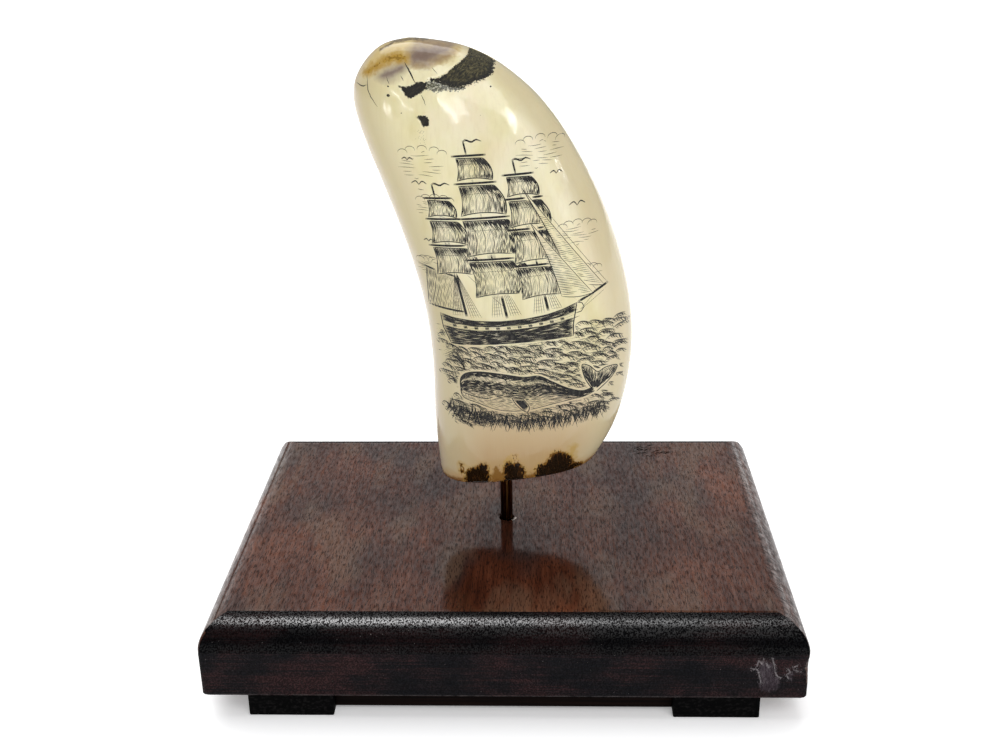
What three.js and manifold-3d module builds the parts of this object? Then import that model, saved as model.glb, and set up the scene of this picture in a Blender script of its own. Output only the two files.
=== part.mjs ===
// A scrimshaw whale tooth on its stand: a polished sperm whale tooth, drilled at the root and
// held upright by a brass rod that stands in a stained hardwood board with a rounded-over edge.
// The board sits on four low blocks, with a thin rail set back between the front and the back pair.
// Millimetres, +Z up, X along the board's long side, the front at -Y.
// The origin is on the table surface, on the rod's axis, at the middle of the board.

import * as THREE from "three";
import { mergeVertices } from "three/addons/utils/BufferGeometryUtils.js";
import Module from "manifold-3d";

const wasm = await Module();
wasm.setup();

// Driving dimensions of the stand
const boardWidth = 140;
const boardDepth = 102.6;
const boardThickness = 19.2;
const roundOver = 7.3; // radius of the round on the board's four top edges
const cornerRadius = 1.2; // easing of the board's upright corners
const arrisRadius = 0.6; // easing of the board's bottom edges
const footWidth = 20;
const footDepth = 20;
const footHeight = 6;
const footSideInset = 10.4; // from the board's end to the foot
const footFrontInset = 0.8; // from the board's face to the foot
const railHeight = 5.1; // the rails hang clear of the table
const railThickness = 8;
const railSetback = 2.5; // behind the feet's outer faces

// Driving dimensions of the rod and the holes it stands in
const rodDiameter = 3.2;
const holeClearance = 0.3; // all round the rod
const holeDepthInBoard = 12;
const holeDepthInTooth = 18;
const socketAllowance = 6; // the cutting drill starts this far below the tooth

// Driving dimensions of the tooth
const rootRounding = 1.5; // radius of the polished edge of the sawn root
const bodySquareness = 2.3; // power of the section's superellipse, where 2 is an ellipse
const rootSquareness = 2.7; // the section is squarer at the root
const squarenessFade = 0.3; // share of the length over which that fades out
const ringCount = 28;
const pointsPerRing = 40;
const boardTop = footHeight + boardThickness;

// The tooth's two outlines as it is seen from the front, from the sawn root up to the worn tip:
// the hollow edge, the bulging edge, both [x, height over the board], and half the thickness there.
const toothStations = [
  { hollow: [-16.5, 14.6], bulge: [22.7, 19.9], halfThickness: 13.5 },
  { hollow: [-17.8, 29.0], bulge: [28.7, 31.0], halfThickness: 14.6 },
  { hollow: [-17.8, 44.2], bulge: [31.6, 47.1], halfThickness: 15.2 },
  { hollow: [-19.1, 58.7], bulge: [30.8, 61.1], halfThickness: 15.4 },
  { hollow: [-22.4, 73.0], bulge: [27.1, 76.3], halfThickness: 15.0 },
  { hollow: [-27.3, 87.9], bulge: [20.9, 91.4], halfThickness: 14.2 },
  { hollow: [-32.1, 101.4], bulge: [11.4, 106.7], halfThickness: 12.7 },
  { hollow: [-34.0, 110.2], bulge: [1.3, 116.2], halfThickness: 10.3 },
  { hollow: [-32.3, 116.0], bulge: [-7.6, 120.8], halfThickness: 7.7 },
  { hollow: [-27.4, 121.2], bulge: [-15.7, 122.4], halfThickness: 4.8 },
  { hollow: [-20.8, 123.0], bulge: [-20.8, 123.0], halfThickness: 0 },
];

const ivory = new THREE.MeshStandardMaterial({ color: 0xe4d9b6, roughness: 0.3 });
const brass = new THREE.MeshStandardMaterial({ color: 0x8a6230, roughness: 0.35, metalness: 1 });
const stainedWood = new THREE.MeshStandardMaterial({ color: 0x4a2f28, roughness: 0.35 });
const blackenedWood = new THREE.MeshStandardMaterial({ color: 0x121010, roughness: 0.5 });

// A closed geometry lofted through rings that all have the same number of points. Each ring runs
// counterclockwise as it is seen from above, and the rings go upwards.
function loftThrough(rings) {
  const count = rings[0].length;
  const positions = rings.flat().flatMap((p) => [p.x, p.y, p.z]);
  const indices = [];
  for (let level = 0; level + 1 < rings.length; level += 1) {
    for (let i = 0; i < count; i += 1) {
      const here = level * count + i;
      const next = level * count + ((i + 1) % count);
      indices.push(here, next, next + count, here, next + count, here + count);
    }
  }
  const capWith = (ring, first, faceUp) => {
    const centre = ring.reduce((sum, p) => sum.add(p), new THREE.Vector3());
    centre.divideScalar(count);
    const hub = positions.length / 3;
    positions.push(centre.x, centre.y, centre.z);
    for (let i = 0; i < count; i += 1) {
      const a = first + i;
      const b = first + ((i + 1) % count);
      indices.push(hub, faceUp ? a : b, faceUp ? b : a);
    }
  };
  capWith(rings[0], 0, false);
  capWith(rings[rings.length - 1], (rings.length - 1) * count, true);
  const geometry = new THREE.BufferGeometry();
  geometry.setAttribute("position", new THREE.Float32BufferAttribute(positions, 3));
  geometry.setIndex(indices);
  return geometry;
}

function solidFrom(geometry) {
  const bare = geometry.clone();
  bare.deleteAttribute("normal");
  bare.deleteAttribute("uv");
  const merged = mergeVertices(bare, 1e-4);
  const mesh = new wasm.Mesh({
    numProp: 3,
    vertProperties: new Float32Array(merged.attributes.position.array),
    triVerts: new Uint32Array(merged.index.array),
  });
  return new wasm.Manifold(mesh);
}

function geometryFrom(solid) {
  const mesh = solid.getMesh();
  const geometry = new THREE.BufferGeometry();
  geometry.setAttribute("position", new THREE.BufferAttribute(mesh.vertProperties, 3));
  geometry.setIndex(new THREE.BufferAttribute(mesh.triVerts, 1));
  geometry.computeVertexNormals();
  return geometry;
}

// An upright cylinder on the rod's axis, from one height to another.
function uprightCylinder(diameter, bottom, top) {
  const geometry = new THREE.CylinderGeometry(diameter / 2, diameter / 2, top - bottom, 32);
  geometry.rotateX(Math.PI / 2);
  geometry.translate(0, 0, (top + bottom) / 2);
  return geometry;
}

function drilled(geometry, bottom, top) {
  const drill = uprightCylinder(rodDiameter + 2 * holeClearance, bottom, top);
  return geometryFrom(solidFrom(geometry).subtract(solidFrom(drill)));
}

function part(name, geometry, material) {
  const mesh = new THREE.Mesh(geometry, material);
  mesh.name = name;
  return mesh;
}

// The board's outline at one height: a rectangle with eased corners, drawn in by an inset.
function boardRing(inset, height) {
  const stepsPerCorner = 3;
  const radius = Math.max(cornerRadius - inset, 0.2);
  const halfWidth = boardWidth / 2 - inset - radius;
  const halfDepth = boardDepth / 2 - inset - radius;
  const ring = [];
  for (let corner = 0; corner < 4; corner += 1) {
    const sideX = corner === 0 || corner === 3 ? 1 : -1;
    const sideY = corner < 2 ? 1 : -1;
    for (let step = 0; step <= stepsPerCorner; step += 1) {
      const angle = (Math.PI / 2) * (corner + step / stepsPerCorner);
      const x = sideX * halfWidth + radius * Math.cos(angle);
      const y = sideY * halfDepth + radius * Math.sin(angle);
      ring.push(new THREE.Vector3(x, y, height));
    }
  }
  return ring;
}

// The board: a small arris below, straight sides, and a quarter round up to the flat top.
function makeBoard() {
  const arrisSteps = 2;
  const roundSteps = 9;
  const rings = [];
  for (let step = 0; step <= arrisSteps; step += 1) {
    const angle = (Math.PI / 2) * (step / arrisSteps);
    const inset = arrisRadius * (1 - Math.sin(angle));
    rings.push(boardRing(inset, footHeight + arrisRadius * (1 - Math.cos(angle))));
  }
  for (let step = 0; step <= roundSteps; step += 1) {
    const angle = (Math.PI / 2) * (step / roundSteps);
    const inset = roundOver * (1 - Math.cos(angle));
    rings.push(boardRing(inset, boardTop - roundOver * (1 - Math.sin(angle))));
  }
  return drilled(loftThrough(rings), boardTop - holeDepthInBoard, boardTop + holeClearance);
}

const curveThrough = (pick) =>
  new THREE.CatmullRomCurve3(toothStations.map(pick), false, "catmullrom", 0.5);
const hollowEdge = curveThrough((s) => new THREE.Vector3(s.hollow[0], 0, s.hollow[1]));
const bulgingEdge = curveThrough((s) => new THREE.Vector3(s.bulge[0], 0, s.bulge[1]));
const thicknessCurve = curveThrough((s) => new THREE.Vector3(0, s.halfThickness, 0));

// One ring round the tooth, at a share of its length from the root to the tip, drawn in by an inset.
function toothRing(share, inset) {
  const hollow = hollowEdge.getPoint(share);
  const bulge = bulgingEdge.getPoint(share);
  const centre = hollow.clone().add(bulge).divideScalar(2);
  const acrossHalf = bulge.clone().sub(centre);
  const reach = acrossHalf.length();
  acrossHalf.multiplyScalar((reach - inset) / reach);
  const depthHalf = thicknessCurve.getPoint(share).y - inset;
  const fade = Math.max(0, 1 - share / squarenessFade) ** 2;
  const power = bodySquareness + (rootSquareness - bodySquareness) * fade;
  const bulged = (value) => Math.sign(value) * Math.abs(value) ** (2 / power);
  const ring = [];
  for (let i = 0; i < pointsPerRing; i += 1) {
    const angle = (2 * Math.PI * i) / pointsPerRing;
    const point = centre.clone().addScaledVector(acrossHalf, bulged(Math.cos(angle)));
    point.y = depthHalf * bulged(Math.sin(angle));
    point.z += boardTop;
    ring.push(point);
  }
  return ring;
}

// The tooth: a rounded edge round the sawn root, the curved body, and the worn dome of the tip,
// with rings set closer together towards the tip. The rod's socket is drilled up from the root.
function makeTooth() {
  const edgeSteps = 4;
  const firstRise = toothStations[1].hollow[1] - toothStations[0].hollow[1];
  const shareOfHeight = (height) => height / firstRise / (toothStations.length - 1);
  const edgeShare = shareOfHeight(rootRounding);
  const lastShare = 0.995;
  const rings = [];
  for (let step = 0; step < edgeSteps; step += 1) {
    const angle = (Math.PI / 2) * (step / edgeSteps);
    const inset = rootRounding * (1 - Math.sin(angle));
    rings.push(toothRing(edgeShare * (1 - Math.cos(angle)), inset));
  }
  for (let step = 0; step < ringCount; step += 1) {
    const share = edgeShare + (lastShare - edgeShare) * (step / (ringCount - 1)) ** 0.85;
    rings.push(toothRing(share, 0));
  }
  const rootHeight = boardTop + rootHeightAtRod();
  return drilled(loftThrough(rings), rootHeight - socketAllowance, rootHeight + holeDepthInTooth);
}

// The height of the sawn root over the board where the rod enters it.
function rootHeightAtRod() {
  const { hollow, bulge } = toothStations[0];
  const share = (0 - hollow[0]) / (bulge[0] - hollow[0]);
  return hollow[1] + share * (bulge[1] - hollow[1]);
}

function makeRod() {
  const top = boardTop + rootHeightAtRod() + holeDepthInTooth;
  return uprightCylinder(rodDiameter, boardTop - holeDepthInBoard, top);
}

const stand = new THREE.Group();
const footX = boardWidth / 2 - footSideInset - footWidth / 2;
const footY = boardDepth / 2 - footFrontInset - footDepth / 2;
for (const [sideName, side] of [["left", -1], ["right", 1]]) {
  for (const [endName, end] of [["front", -1], ["back", 1]]) {
    const block = new THREE.BoxGeometry(footWidth, footDepth, footHeight);
    const foot = part(`foot_${endName}_${sideName}`, block, blackenedWood);
    foot.position.set(side * footX, end * footY, footHeight / 2);
    stand.add(foot);
  }
}

const railLength = 2 * footX - footWidth;
const railY = boardDepth / 2 - footFrontInset - railSetback - railThickness / 2;
for (const [endName, end] of [["front", -1], ["back", 1]]) {
  const bar = new THREE.BoxGeometry(railLength, railThickness, railHeight);
  const rail = part(`rail_${endName}`, bar, stainedWood);
  rail.position.set(0, end * railY, footHeight - railHeight / 2);
  stand.add(rail);
}

stand.add(part("base_board", makeBoard(), stainedWood));
stand.add(part("brass_rod", makeRod(), brass));

const mountedTooth = new THREE.Group();
mountedTooth.add(stand);
mountedTooth.add(part("whale_tooth", makeTooth(), ivory));

export default mountedTooth;
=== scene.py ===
"""A scrimshaw whale tooth on its stand: an engraved and polished tooth on a brass rod, over a
lacquered hardwood board with a rounded-over edge, four low blocks and two rails."""

import math
import random

import bmesh
import bpy
import numpy as np
from mathutils import Matrix, Quaternion, Vector, noise
from mathutils.bvhtree import BVHTree


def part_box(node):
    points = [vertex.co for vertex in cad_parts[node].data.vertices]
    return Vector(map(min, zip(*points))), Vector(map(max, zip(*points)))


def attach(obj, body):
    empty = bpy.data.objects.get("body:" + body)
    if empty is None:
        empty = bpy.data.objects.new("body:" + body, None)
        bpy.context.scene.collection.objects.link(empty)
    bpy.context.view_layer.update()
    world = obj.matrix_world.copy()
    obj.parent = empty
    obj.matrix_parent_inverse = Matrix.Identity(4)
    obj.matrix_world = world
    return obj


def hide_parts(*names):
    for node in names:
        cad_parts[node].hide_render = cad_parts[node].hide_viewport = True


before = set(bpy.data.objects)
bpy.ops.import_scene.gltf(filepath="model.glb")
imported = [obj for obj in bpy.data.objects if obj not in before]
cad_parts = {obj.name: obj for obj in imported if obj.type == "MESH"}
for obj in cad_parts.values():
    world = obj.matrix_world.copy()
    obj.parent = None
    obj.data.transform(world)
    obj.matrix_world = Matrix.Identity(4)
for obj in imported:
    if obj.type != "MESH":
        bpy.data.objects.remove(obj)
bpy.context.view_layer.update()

MM = 0.001
scene = bpy.context.scene

# Where the tooth stands to be looked at: a camera a little above it, a white floor that runs out
# of sight, soft light from above, a bright wall behind that shows in the lacquer, and a few small
# lamps in front that show as glints in the polish.
camera = bpy.data.objects.new("camera", bpy.data.cameras.new("camera"))
camera.data.lens = 45.14
camera.data.sensor_width = 36.0
camera.location = (9.02 * MM, -292.2 * MM, 187.33 * MM)
camera.rotation_euler = [math.radians(turn) for turn in (67.239, 0.752, 1.495)]
scene.collection.objects.link(camera)
scene.camera = camera
scene.view_settings.view_transform = "Standard"

ROOM_GREY = (0.27, 0.27, 0.28, 1.0)
FLOOR_WHITE = (0.93, 0.93, 0.93, 1.0)
AIM = Vector((0.0, 0.0, 90 * MM))

room = bpy.data.worlds.new("room")
room.use_nodes = True
room.node_tree.nodes["Background"].inputs["Color"].default_value = ROOM_GREY
scene.world = room

floor_mesh = bmesh.new()
bmesh.ops.create_grid(floor_mesh, x_segments=1, y_segments=1, size=6.0)
floor = bpy.data.objects.new("floor", bpy.data.meshes.new("floor"))
floor_mesh.to_mesh(floor.data)
floor_mesh.free()
scene.collection.objects.link(floor)
floor_paint = bpy.data.materials.new("floor_white")
floor_paint.use_nodes = True
floor_paint.node_tree.nodes["Principled BSDF"].inputs["Base Color"].default_value = FLOOR_WHITE
floor_paint.node_tree.nodes["Principled BSDF"].inputs["Roughness"].default_value = 0.9
floor_paint.node_tree.nodes["Principled BSDF"].inputs["Emission Color"].default_value = FLOOR_WHITE
floor_paint.node_tree.nodes["Principled BSDF"].inputs["Emission Strength"].default_value = 0.28
floor.data.materials.append(floor_paint)


polish_glints = bpy.data.collections.new("polish_glints")
lacquer_glints = bpy.data.collections.new("lacquer_glints")
all_but_tooth = bpy.data.collections.new("all_but_tooth")


def lamp(name, turn, rise, size, radiance, roll=0.0, distance=1.2, glints=None):
    """A soft rectangular light that faces the tooth from a turn to the right and a rise. One that
    only makes glints names the pieces that it shines in."""
    light = bpy.data.lights.new(name, "AREA")
    light.shape = "RECTANGLE"
    light.size, light.size_y = size
    light.energy = radiance * math.pi * size[0] * size[1]
    holder = bpy.data.objects.new(name, light)
    turn, rise = math.radians(turn), math.radians(rise)
    away = Vector((math.sin(turn) * math.cos(rise), -math.cos(turn) * math.cos(rise), math.sin(rise)))
    holder.location = AIM + away * distance
    facing = away.to_track_quat("Z", "Y") @ Quaternion((0, 0, 1), math.radians(roll))
    holder.rotation_euler = facing.to_euler()
    if glints:
        holder.visible_diffuse = False
        holder.light_linking.receiver_collection = glints
    scene.collection.objects.link(holder)
    return holder


sky = bpy.data.lights.new("soft_sky", "SUN")
sky.energy = 2.1
sky.angle = math.radians(60)
sky_holder = bpy.data.objects.new("soft_sky", sky)
sky_holder.rotation_euler = (math.radians(-18), math.radians(-14), 0.0)
scene.collection.objects.link(sky_holder)

wall = lamp("bright_wall", 180, 23, (3.4, 1.1), 1.75, distance=1.7)
wall.light_linking.receiver_collection = all_but_tooth
lamp("front_fill", 24, 46, (1.3, 0.9), 3.0, distance=1.6)
lamp("wall_right", 138, 8, (1.0, 0.6), 1.3, distance=1.7, glints=lacquer_glints)
lamp("round_shine", -63, 79.4, (0.28, 0.60), 88.0, roll=-119, glints=lacquer_glints)
lamp("round_shine_right", 52.4, 82.1, (0.34, 0.60), 24.0, roll=127.6, glints=lacquer_glints)
lamp("glint_middle", -1, 24, (0.22, 0.26), 6.0, roll=15, glints=polish_glints)
lamp("glint_middle_edge", -6, 20, (0.022, 0.27), 24.0, roll=25, glints=polish_glints)
lamp("glint_right", 39, 29, (0.030, 0.34), 26.0, roll=-38, glints=polish_glints)
lamp("glint_right_edge", 35, 31, (0.025, 0.14), 16.0, roll=-38, glints=polish_glints)
lamp("glint_side", 67.0, 20, (0.014, 0.10), 34.0, glints=polish_glints)
lamp("glint_side_edge", 71.0, 20, (0.014, 0.10), 34.0, glints=polish_glints)
lamp("broad_right", 52, 14, (0.55, 0.90), 1.5, glints=polish_glints)
lamp("glint_left", -46, 3, (0.06, 0.12), 14.0, glints=polish_glints)
lamp("glint_left_edge", -30, 16, (0.03, 0.24), 14.0, roll=52, glints=polish_glints)


# The board: one piece of stained mahogany-like wood under a glossy lacquer that leaves its pores
# open. The grain runs from front to back, so the front and back faces are end grain. A large
# round is routed round the top, which leaves a mitre line at each corner.
ROUND_OVER = 7.3 * MM
CORNER_EASE = 0.9 * MM
MITRE_SHARP = 2.5 * MM  # the mitre stays sharp this far below the top
ARRIS = 0.6 * MM
SHOULDER = 0.4 * MM  # width of the strip that keeps a flat face flat up to its rounded edge
HOLE_RADIUS = 1.9 * MM
HOLE_DEPTH = 12 * MM
RIM_BREAK = 0.25 * MM
TOUCH = 0.001 * MM  # points this near each other count as one
CLOSE = 0.01 * MM


class Finish:
    """A node material in the making. Each method adds a node and gives its output socket."""

    def __init__(self, name, **shader_values):
        self.material = bpy.data.materials.new(name)
        self.material.use_nodes = True
        self.tree = self.material.node_tree
        self.shader = self.tree.nodes["Principled BSDF"]
        for socket, value in shader_values.items():
            self.shader.inputs[socket.replace("_", " ")].default_value = value

    def node(self, kind, inputs=None, **settings):
        made = self.tree.nodes.new("ShaderNode" + kind)
        for key, value in settings.items():
            setattr(made, key, value)
        for socket, value in (inputs or {}).items():
            if isinstance(value, bpy.types.NodeSocket):
                self.tree.links.new(value, made.inputs[socket])
            else:
                made.inputs[socket].default_value = value
        return made

    def place(self):
        return self.node("TexCoord").outputs["Object"]

    def along(self, axis):
        """The point's X, Y or Z in metres."""
        return self.node("SeparateXYZ", {"Vector": self.place()}).outputs[axis]

    def grain(self, size, detail=3.0, roughness=0.5, offset=(0, 0, 0), distortion=0.0):
        """Noise from 0 to 1 whose features have this size in mm along X, Y and Z."""
        scale = [1 / (s * MM) for s in size]
        where = self.node("Mapping", {"Vector": self.place(), "Scale": scale, "Location": offset})
        values = {"Vector": where.outputs["Vector"], "Scale": 1.0, "Detail": detail}
        values.update({"Roughness": roughness, "Distortion": distortion})
        return self.node("TexNoise", values).outputs["Fac"]

    def turned_grain(self, where, turns, size, **values):
        """Noise whose features have this size in mm, turned by degrees about X, Y and Z."""
        lie = {"Vector": where, "Rotation": [math.radians(turn) for turn in turns]}
        lie["Scale"] = [s * MM for s in size]
        lines = self.node("Mapping", lie, vector_type="TEXTURE").outputs[0]
        return self.node("TexNoise", {"Vector": lines, "Scale": 1.0, **values}).outputs["Fac"]

    def math(self, kind, first, second=0.5, third=0.5):
        made = self.node("Math", {0: first, 1: second, 2: third}, operation=kind)
        return made.outputs[0]

    def times(self, first, second):
        return self.math("MULTIPLY", first, second)

    def fade(self, value, start, end, low=0.0, high=1.0):
        """Value mapped from start..end to low..high, held at both ends."""
        inputs = {"Value": value, "From Min": start, "From Max": end, "To Min": low, "To Max": high}
        return self.node("MapRange", inputs).outputs["Result"]

    def ramp(self, value, stops):
        made = self.node("ValToRGB", {"Fac": value})
        band = made.color_ramp
        while len(band.elements) < len(stops):
            band.elements.new(1.0)
        for element, (position, colour) in zip(band.elements, stops):
            element.position = position
            element.color = (*colour, 1.0)
        return made.outputs["Color"]

    def mix(self, share, first, second, blend="MIX"):
        made = self.node("Mix", data_type="RGBA", blend_type=blend)
        for index, value in ((0, share), (6, first), (7, second)):
            if isinstance(value, bpy.types.NodeSocket):
                self.tree.links.new(value, made.inputs[index])
            elif isinstance(value, tuple):
                made.inputs[index].default_value = (*value, 1.0)
            else:
                made.inputs[index].default_value = value
        return made.outputs[2]

    def lay(self, under, colour, share, strength):
        """A colour laid over what is under it, as strong as a share times a number."""
        return self.mix(self.times(share, strength), under, colour)

    def mark(self, name):
        """A value that was stored on the mesh."""
        return self.node("Attribute", attribute_name=name).outputs["Fac"]

    def bump(self, height, depth, strength=1.0):
        inputs = {"Height": height, "Distance": depth, "Strength": strength}
        return self.node("Bump", inputs).outputs["Normal"]

    def feed(self, **sockets):
        for socket, value in sockets.items():
            self.tree.links.new(value, self.shader.inputs[socket.replace("_", " ")])

    def colour_by(self, value, stops):
        self.feed(Base_Color=self.ramp(value, stops))


# Long grain: fine streaks and dark open pores along Y, with redder, browner and greyer clouds.
long_grain = Finish(
    "lacquered_long_grain", Roughness=0.5, Specular_IOR_Level=0.0, Coat_Weight=0.14, Coat_Roughness=0.11,
)
clouds = long_grain.grain((26, 40, 26), detail=2)
streaks = long_grain.grain((0.9, 22, 0.9), detail=4, roughness=0.6)
tone = long_grain.math("MULTIPLY_ADD", clouds, 0.55, long_grain.times(streaks, 0.45))
red_brown = long_grain.ramp(tone, [
    (0.36, (0.024, 0.0066, 0.0034)),
    (0.50, (0.056, 0.0165, 0.0078)),
    (0.64, (0.112, 0.038, 0.019)),
])
blue_grey = long_grain.fade(long_grain.grain((16, 22, 16), detail=2, offset=(3, 7, 0)), 0.5, 0.66)
weathered = long_grain.lay(red_brown, (0.021, 0.0175, 0.017), blue_grey, 0.55)
tan = long_grain.fade(long_grain.grain((9, 26, 9), detail=3, offset=(1, 4, 0)), 0.50, 0.64)
weathered = long_grain.lay(weathered, (0.100, 0.060, 0.038), tan, 0.45)
cells = long_grain.grain((0.25, 2.2, 0.25), detail=1.5)
pores = long_grain.fade(cells, 0.565, 0.61)
lit_pores = long_grain.lay(weathered, (0.008, 0.004, 0.003), pores, 0.7)
# Scratches by the back edge, which cut through the lacquer.
SCRATCHED_AT = (41.5 * MM, 39.3 * MM, 25.2 * MM)
from_scratch = long_grain.node("VectorMath", {0: long_grain.place(), 1: SCRATCHED_AT}, operation="SUBTRACT")
scratched = long_grain.turned_grain(
    from_scratch.outputs[0], (0, 0, 30), (3.4, 0.75, 1.0), Detail=4.0, Distortion=1.2,
)
longer_in_x = {0: from_scratch.outputs[0], 1: (1.0, 1.5, 1.0)}
scratch_area = long_grain.node("VectorMath", longer_in_x, operation="MULTIPLY").outputs[0]
scratch_reach = long_grain.node("VectorMath", {0: scratch_area}, operation="LENGTH").outputs["Value"]
scratch_share = long_grain.fade(scratch_reach, 0.0070, 0.0050)
scratch_share = long_grain.times(scratch_share, long_grain.fade(scratched, 0.53, 0.57))
scarred = long_grain.mix(scratch_share, lit_pores, (0.006, 0.004, 0.003))
# Slanting marks that the cutter left along the right round.
cutter_marks = long_grain.turned_grain(long_grain.place(), (0, 0, -32), (2.2, 0.34, 2.2), Detail=1.0)
cutter_marks = long_grain.fade(cutter_marks, 0.48, 0.60)
by_right_edge = long_grain.fade(long_grain.along("X"), 0.0628, 0.0644, 0.0, 0.75)
cutter_marks = long_grain.times(cutter_marks, by_right_edge)
on_the_round = long_grain.fade(long_grain.along("Z"), 0.0175, 0.0205)
cutter_marks = long_grain.times(cutter_marks, on_the_round)
scarred = long_grain.mix(cutter_marks, scarred, (0.010, 0.006, 0.005))
open_grain = long_grain.bump(long_grain.times(pores, -1.0), 0.10 * MM, 0.5)
unlacquered = long_grain.math("MAXIMUM", scratch_share, long_grain.times(pores, 0.45))
unlacquered = long_grain.math("MAXIMUM", unlacquered, long_grain.times(cutter_marks, 0.8))
thickness = long_grain.fade(long_grain.grain((0.9, 3.0, 0.9), detail=4), 0.36, 0.64, 0.17, 0.38)
from_middle = long_grain.math("ABSOLUTE", long_grain.along("X"))
thickness = long_grain.times(thickness, long_grain.fade(from_middle, 0.0635, 0.0675, 1.0, 2.3))
lacquer = long_grain.times(thickness, long_grain.math("SUBTRACT", 1.0, unlacquered))
long_grain.feed(Base_Color=scarred, Normal=open_grain, Coat_Weight=lacquer)


def end_grain_finish(name, coat, darkness, pit_depth, least_coat):
    """End grain: nearly black, sanded along X, with pores that show as dull pits where it shines."""
    wood = Finish(name, Roughness=0.6, Specular_IOR_Level=0.0, Coat_Weight=coat, Coat_Roughness=0.26)
    patches = wood.grain((15, 15, 7), detail=4, roughness=0.6)
    sanding = wood.grain((30, 30, 0.22), detail=3, roughness=0.65)
    shade = wood.math("MULTIPLY_ADD", patches, 0.6, wood.times(sanding, 0.4))
    colour = wood.ramp(shade, [
        (0.42, (0.0050 * darkness, 0.0052 * darkness, 0.0070 * darkness)),
        (0.50, (0.0120 * darkness, 0.0088 * darkness, 0.0105 * darkness)),
        (0.585, (0.0360 * darkness, 0.0160 * darkness, 0.0165 * darkness)),
    ])
    pits = wood.fade(wood.grain((0.42, 0.42, 0.42), detail=2), 0.46, 0.56)
    colour = wood.lay(colour, (0.002, 0.0015, 0.0015), pits, 0.6)
    relief = wood.bump(wood.times(pits, -1.0), pit_depth, 1.0)
    dust = wood.fade(wood.grain((0.34, 0.34, 0.34), detail=0), 0.855, 0.87)
    colour = wood.lay(colour, (0.22, 0.20, 0.19), dust, 0.7)
    shine = wood.fade(wood.grain((0.34, 0.40, 0.40), detail=2), 0.43, 0.55, coat, least_coat)
    wood.feed(Base_Color=colour, Normal=relief, Coat_Weight=shine)
    return wood, colour


# The rounds get a copy of the end grain painted about a third as bright as the faces: painted shade for the
# dark room that they face.
shaded_round_grain, _ = end_grain_finish("lacquered_round_painted_shade", 0.22, 0.32, 0.06 * MM, 0.01)
face_grain, face_colour = end_grain_finish("lacquered_end_grain", 0.14, 1.05, 0.30 * MM, 0.08)

# A knock on the front face by its right corner has split the lacquer off, with pale torn rims, and
# a lighter line is painted all along the lower edge, a painted highlight on its arris. Outlines are X and
# height in mm.
KNOCK = [(58.4, 14.0), (58.8, 15.4), (59.6, 16.2), (61.3, 15.7), (62.1, 13.6), (62.7, 12.2),
         (63.4, 10.9), (62.8, 8.8), (60.5, 8.1), (59.2, 8.9), (58.9, 12.2)]
GRAZE = [(65.1, 13.2), (66.3, 14.2), (66.9, 12.7), (66.2, 10.9), (65.2, 11.5)]
KNOCK_RIMS = [
    [(57.0, 14.3), (58.2, 14.1), (58.6, 12.8), (59.0, 11.3), (59.2, 10.4)],
    [(58.0, 15.0), (58.3, 16.6), (59.1, 15.6), (59.4, 17.0)],
    [(61.0, 18.6), (61.3, 17.2), (62.0, 15.1), (62.2, 13.4), (62.8, 12.3), (63.7, 11.8)],
    [(66.2, 14.7), (67.2, 15.3)],
    [(66.4, 14.1), (67.9, 13.5)],
    [(65.0, 14.4), (65.7, 13.4), (64.8, 12.8), (65.4, 11.6)],
    [(60.0, 15.9), (60.8, 14.6)],
]
torn_grain = face_grain.grain((0.8, 0.8, 1.4), detail=5, roughness=0.7)
wander = face_grain.times(face_grain.math("SUBTRACT", torn_grain, 0.5), 2.6)
bare = face_grain.fade(face_grain.math("ADD", face_grain.mark("knock"), wander), 0.5, -0.5)
fibres = face_grain.grain((0.35, 0.35, 1.6), detail=3)
bare_wood = face_grain.ramp(fibres, [
    (0.35, (0.030, 0.021, 0.026)),
    (0.52, (0.050, 0.037, 0.045)),
    (0.68, (0.10, 0.082, 0.092)),
])
face_colour = face_grain.lay(face_colour, bare_wood, bare, 0.9)
rim = face_grain.fade(face_grain.math("MULTIPLY_ADD", wander, 0.30, face_grain.mark("knock_rim")), 0.27, 0.0)
rim = face_grain.times(rim, face_grain.fade(torn_grain, 0.42, 0.56, 0.1, 0.9))
flakes = face_grain.fade(face_grain.grain((0.22, 0.22, 0.34), detail=2), 0.58, 0.66)
flakes = face_grain.times(flakes, face_grain.fade(face_grain.mark("knock_rim"), 0.9, 0.2, 0.0, 0.6))
rim = face_grain.math("MAXIMUM", rim, flakes)
face_colour = face_grain.mix(rim, face_colour, (0.44, 0.40, 0.41))
# A painted highlight along the lower arris, broken up by noise.
highlight_breaks = face_grain.grain((2.2, 2.2, 5.0), detail=6, roughness=0.6)
lower_edge_highlight = face_grain.fade(face_grain.along("Z"), 0.0068, 0.0063)
lower_edge_highlight = face_grain.times(lower_edge_highlight, face_grain.fade(highlight_breaks, 0.35, 0.6))
face_colour = face_grain.lay(face_colour, (0.10, 0.085, 0.085), lower_edge_highlight, 0.7)
face_grain.feed(Base_Color=face_colour)


def finished(name, mesh, material, replaces=None, smooth=True):
    """Turns a bmesh into a piece of the object that stands for its own CAD node."""
    data = bpy.data.meshes.new(name)
    mesh.to_mesh(data)
    mesh.free()
    piece = bpy.data.objects.new(name, data)
    scene.collection.objects.link(piece)
    data.materials.append(material)
    data.polygons.foreach_set("use_smooth", [smooth] * len(data.polygons))
    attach(piece, "root")
    if replaces:
        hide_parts(replaces)
    return piece


def block(low, high):
    """A bmesh block between two corners."""
    mesh = bmesh.new()
    bmesh.ops.create_cube(mesh, size=1.0)
    bmesh.ops.scale(mesh, vec=high - low, verts=mesh.verts)
    bmesh.ops.translate(mesh, vec=(low + high) / 2, verts=mesh.verts)
    return mesh


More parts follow.
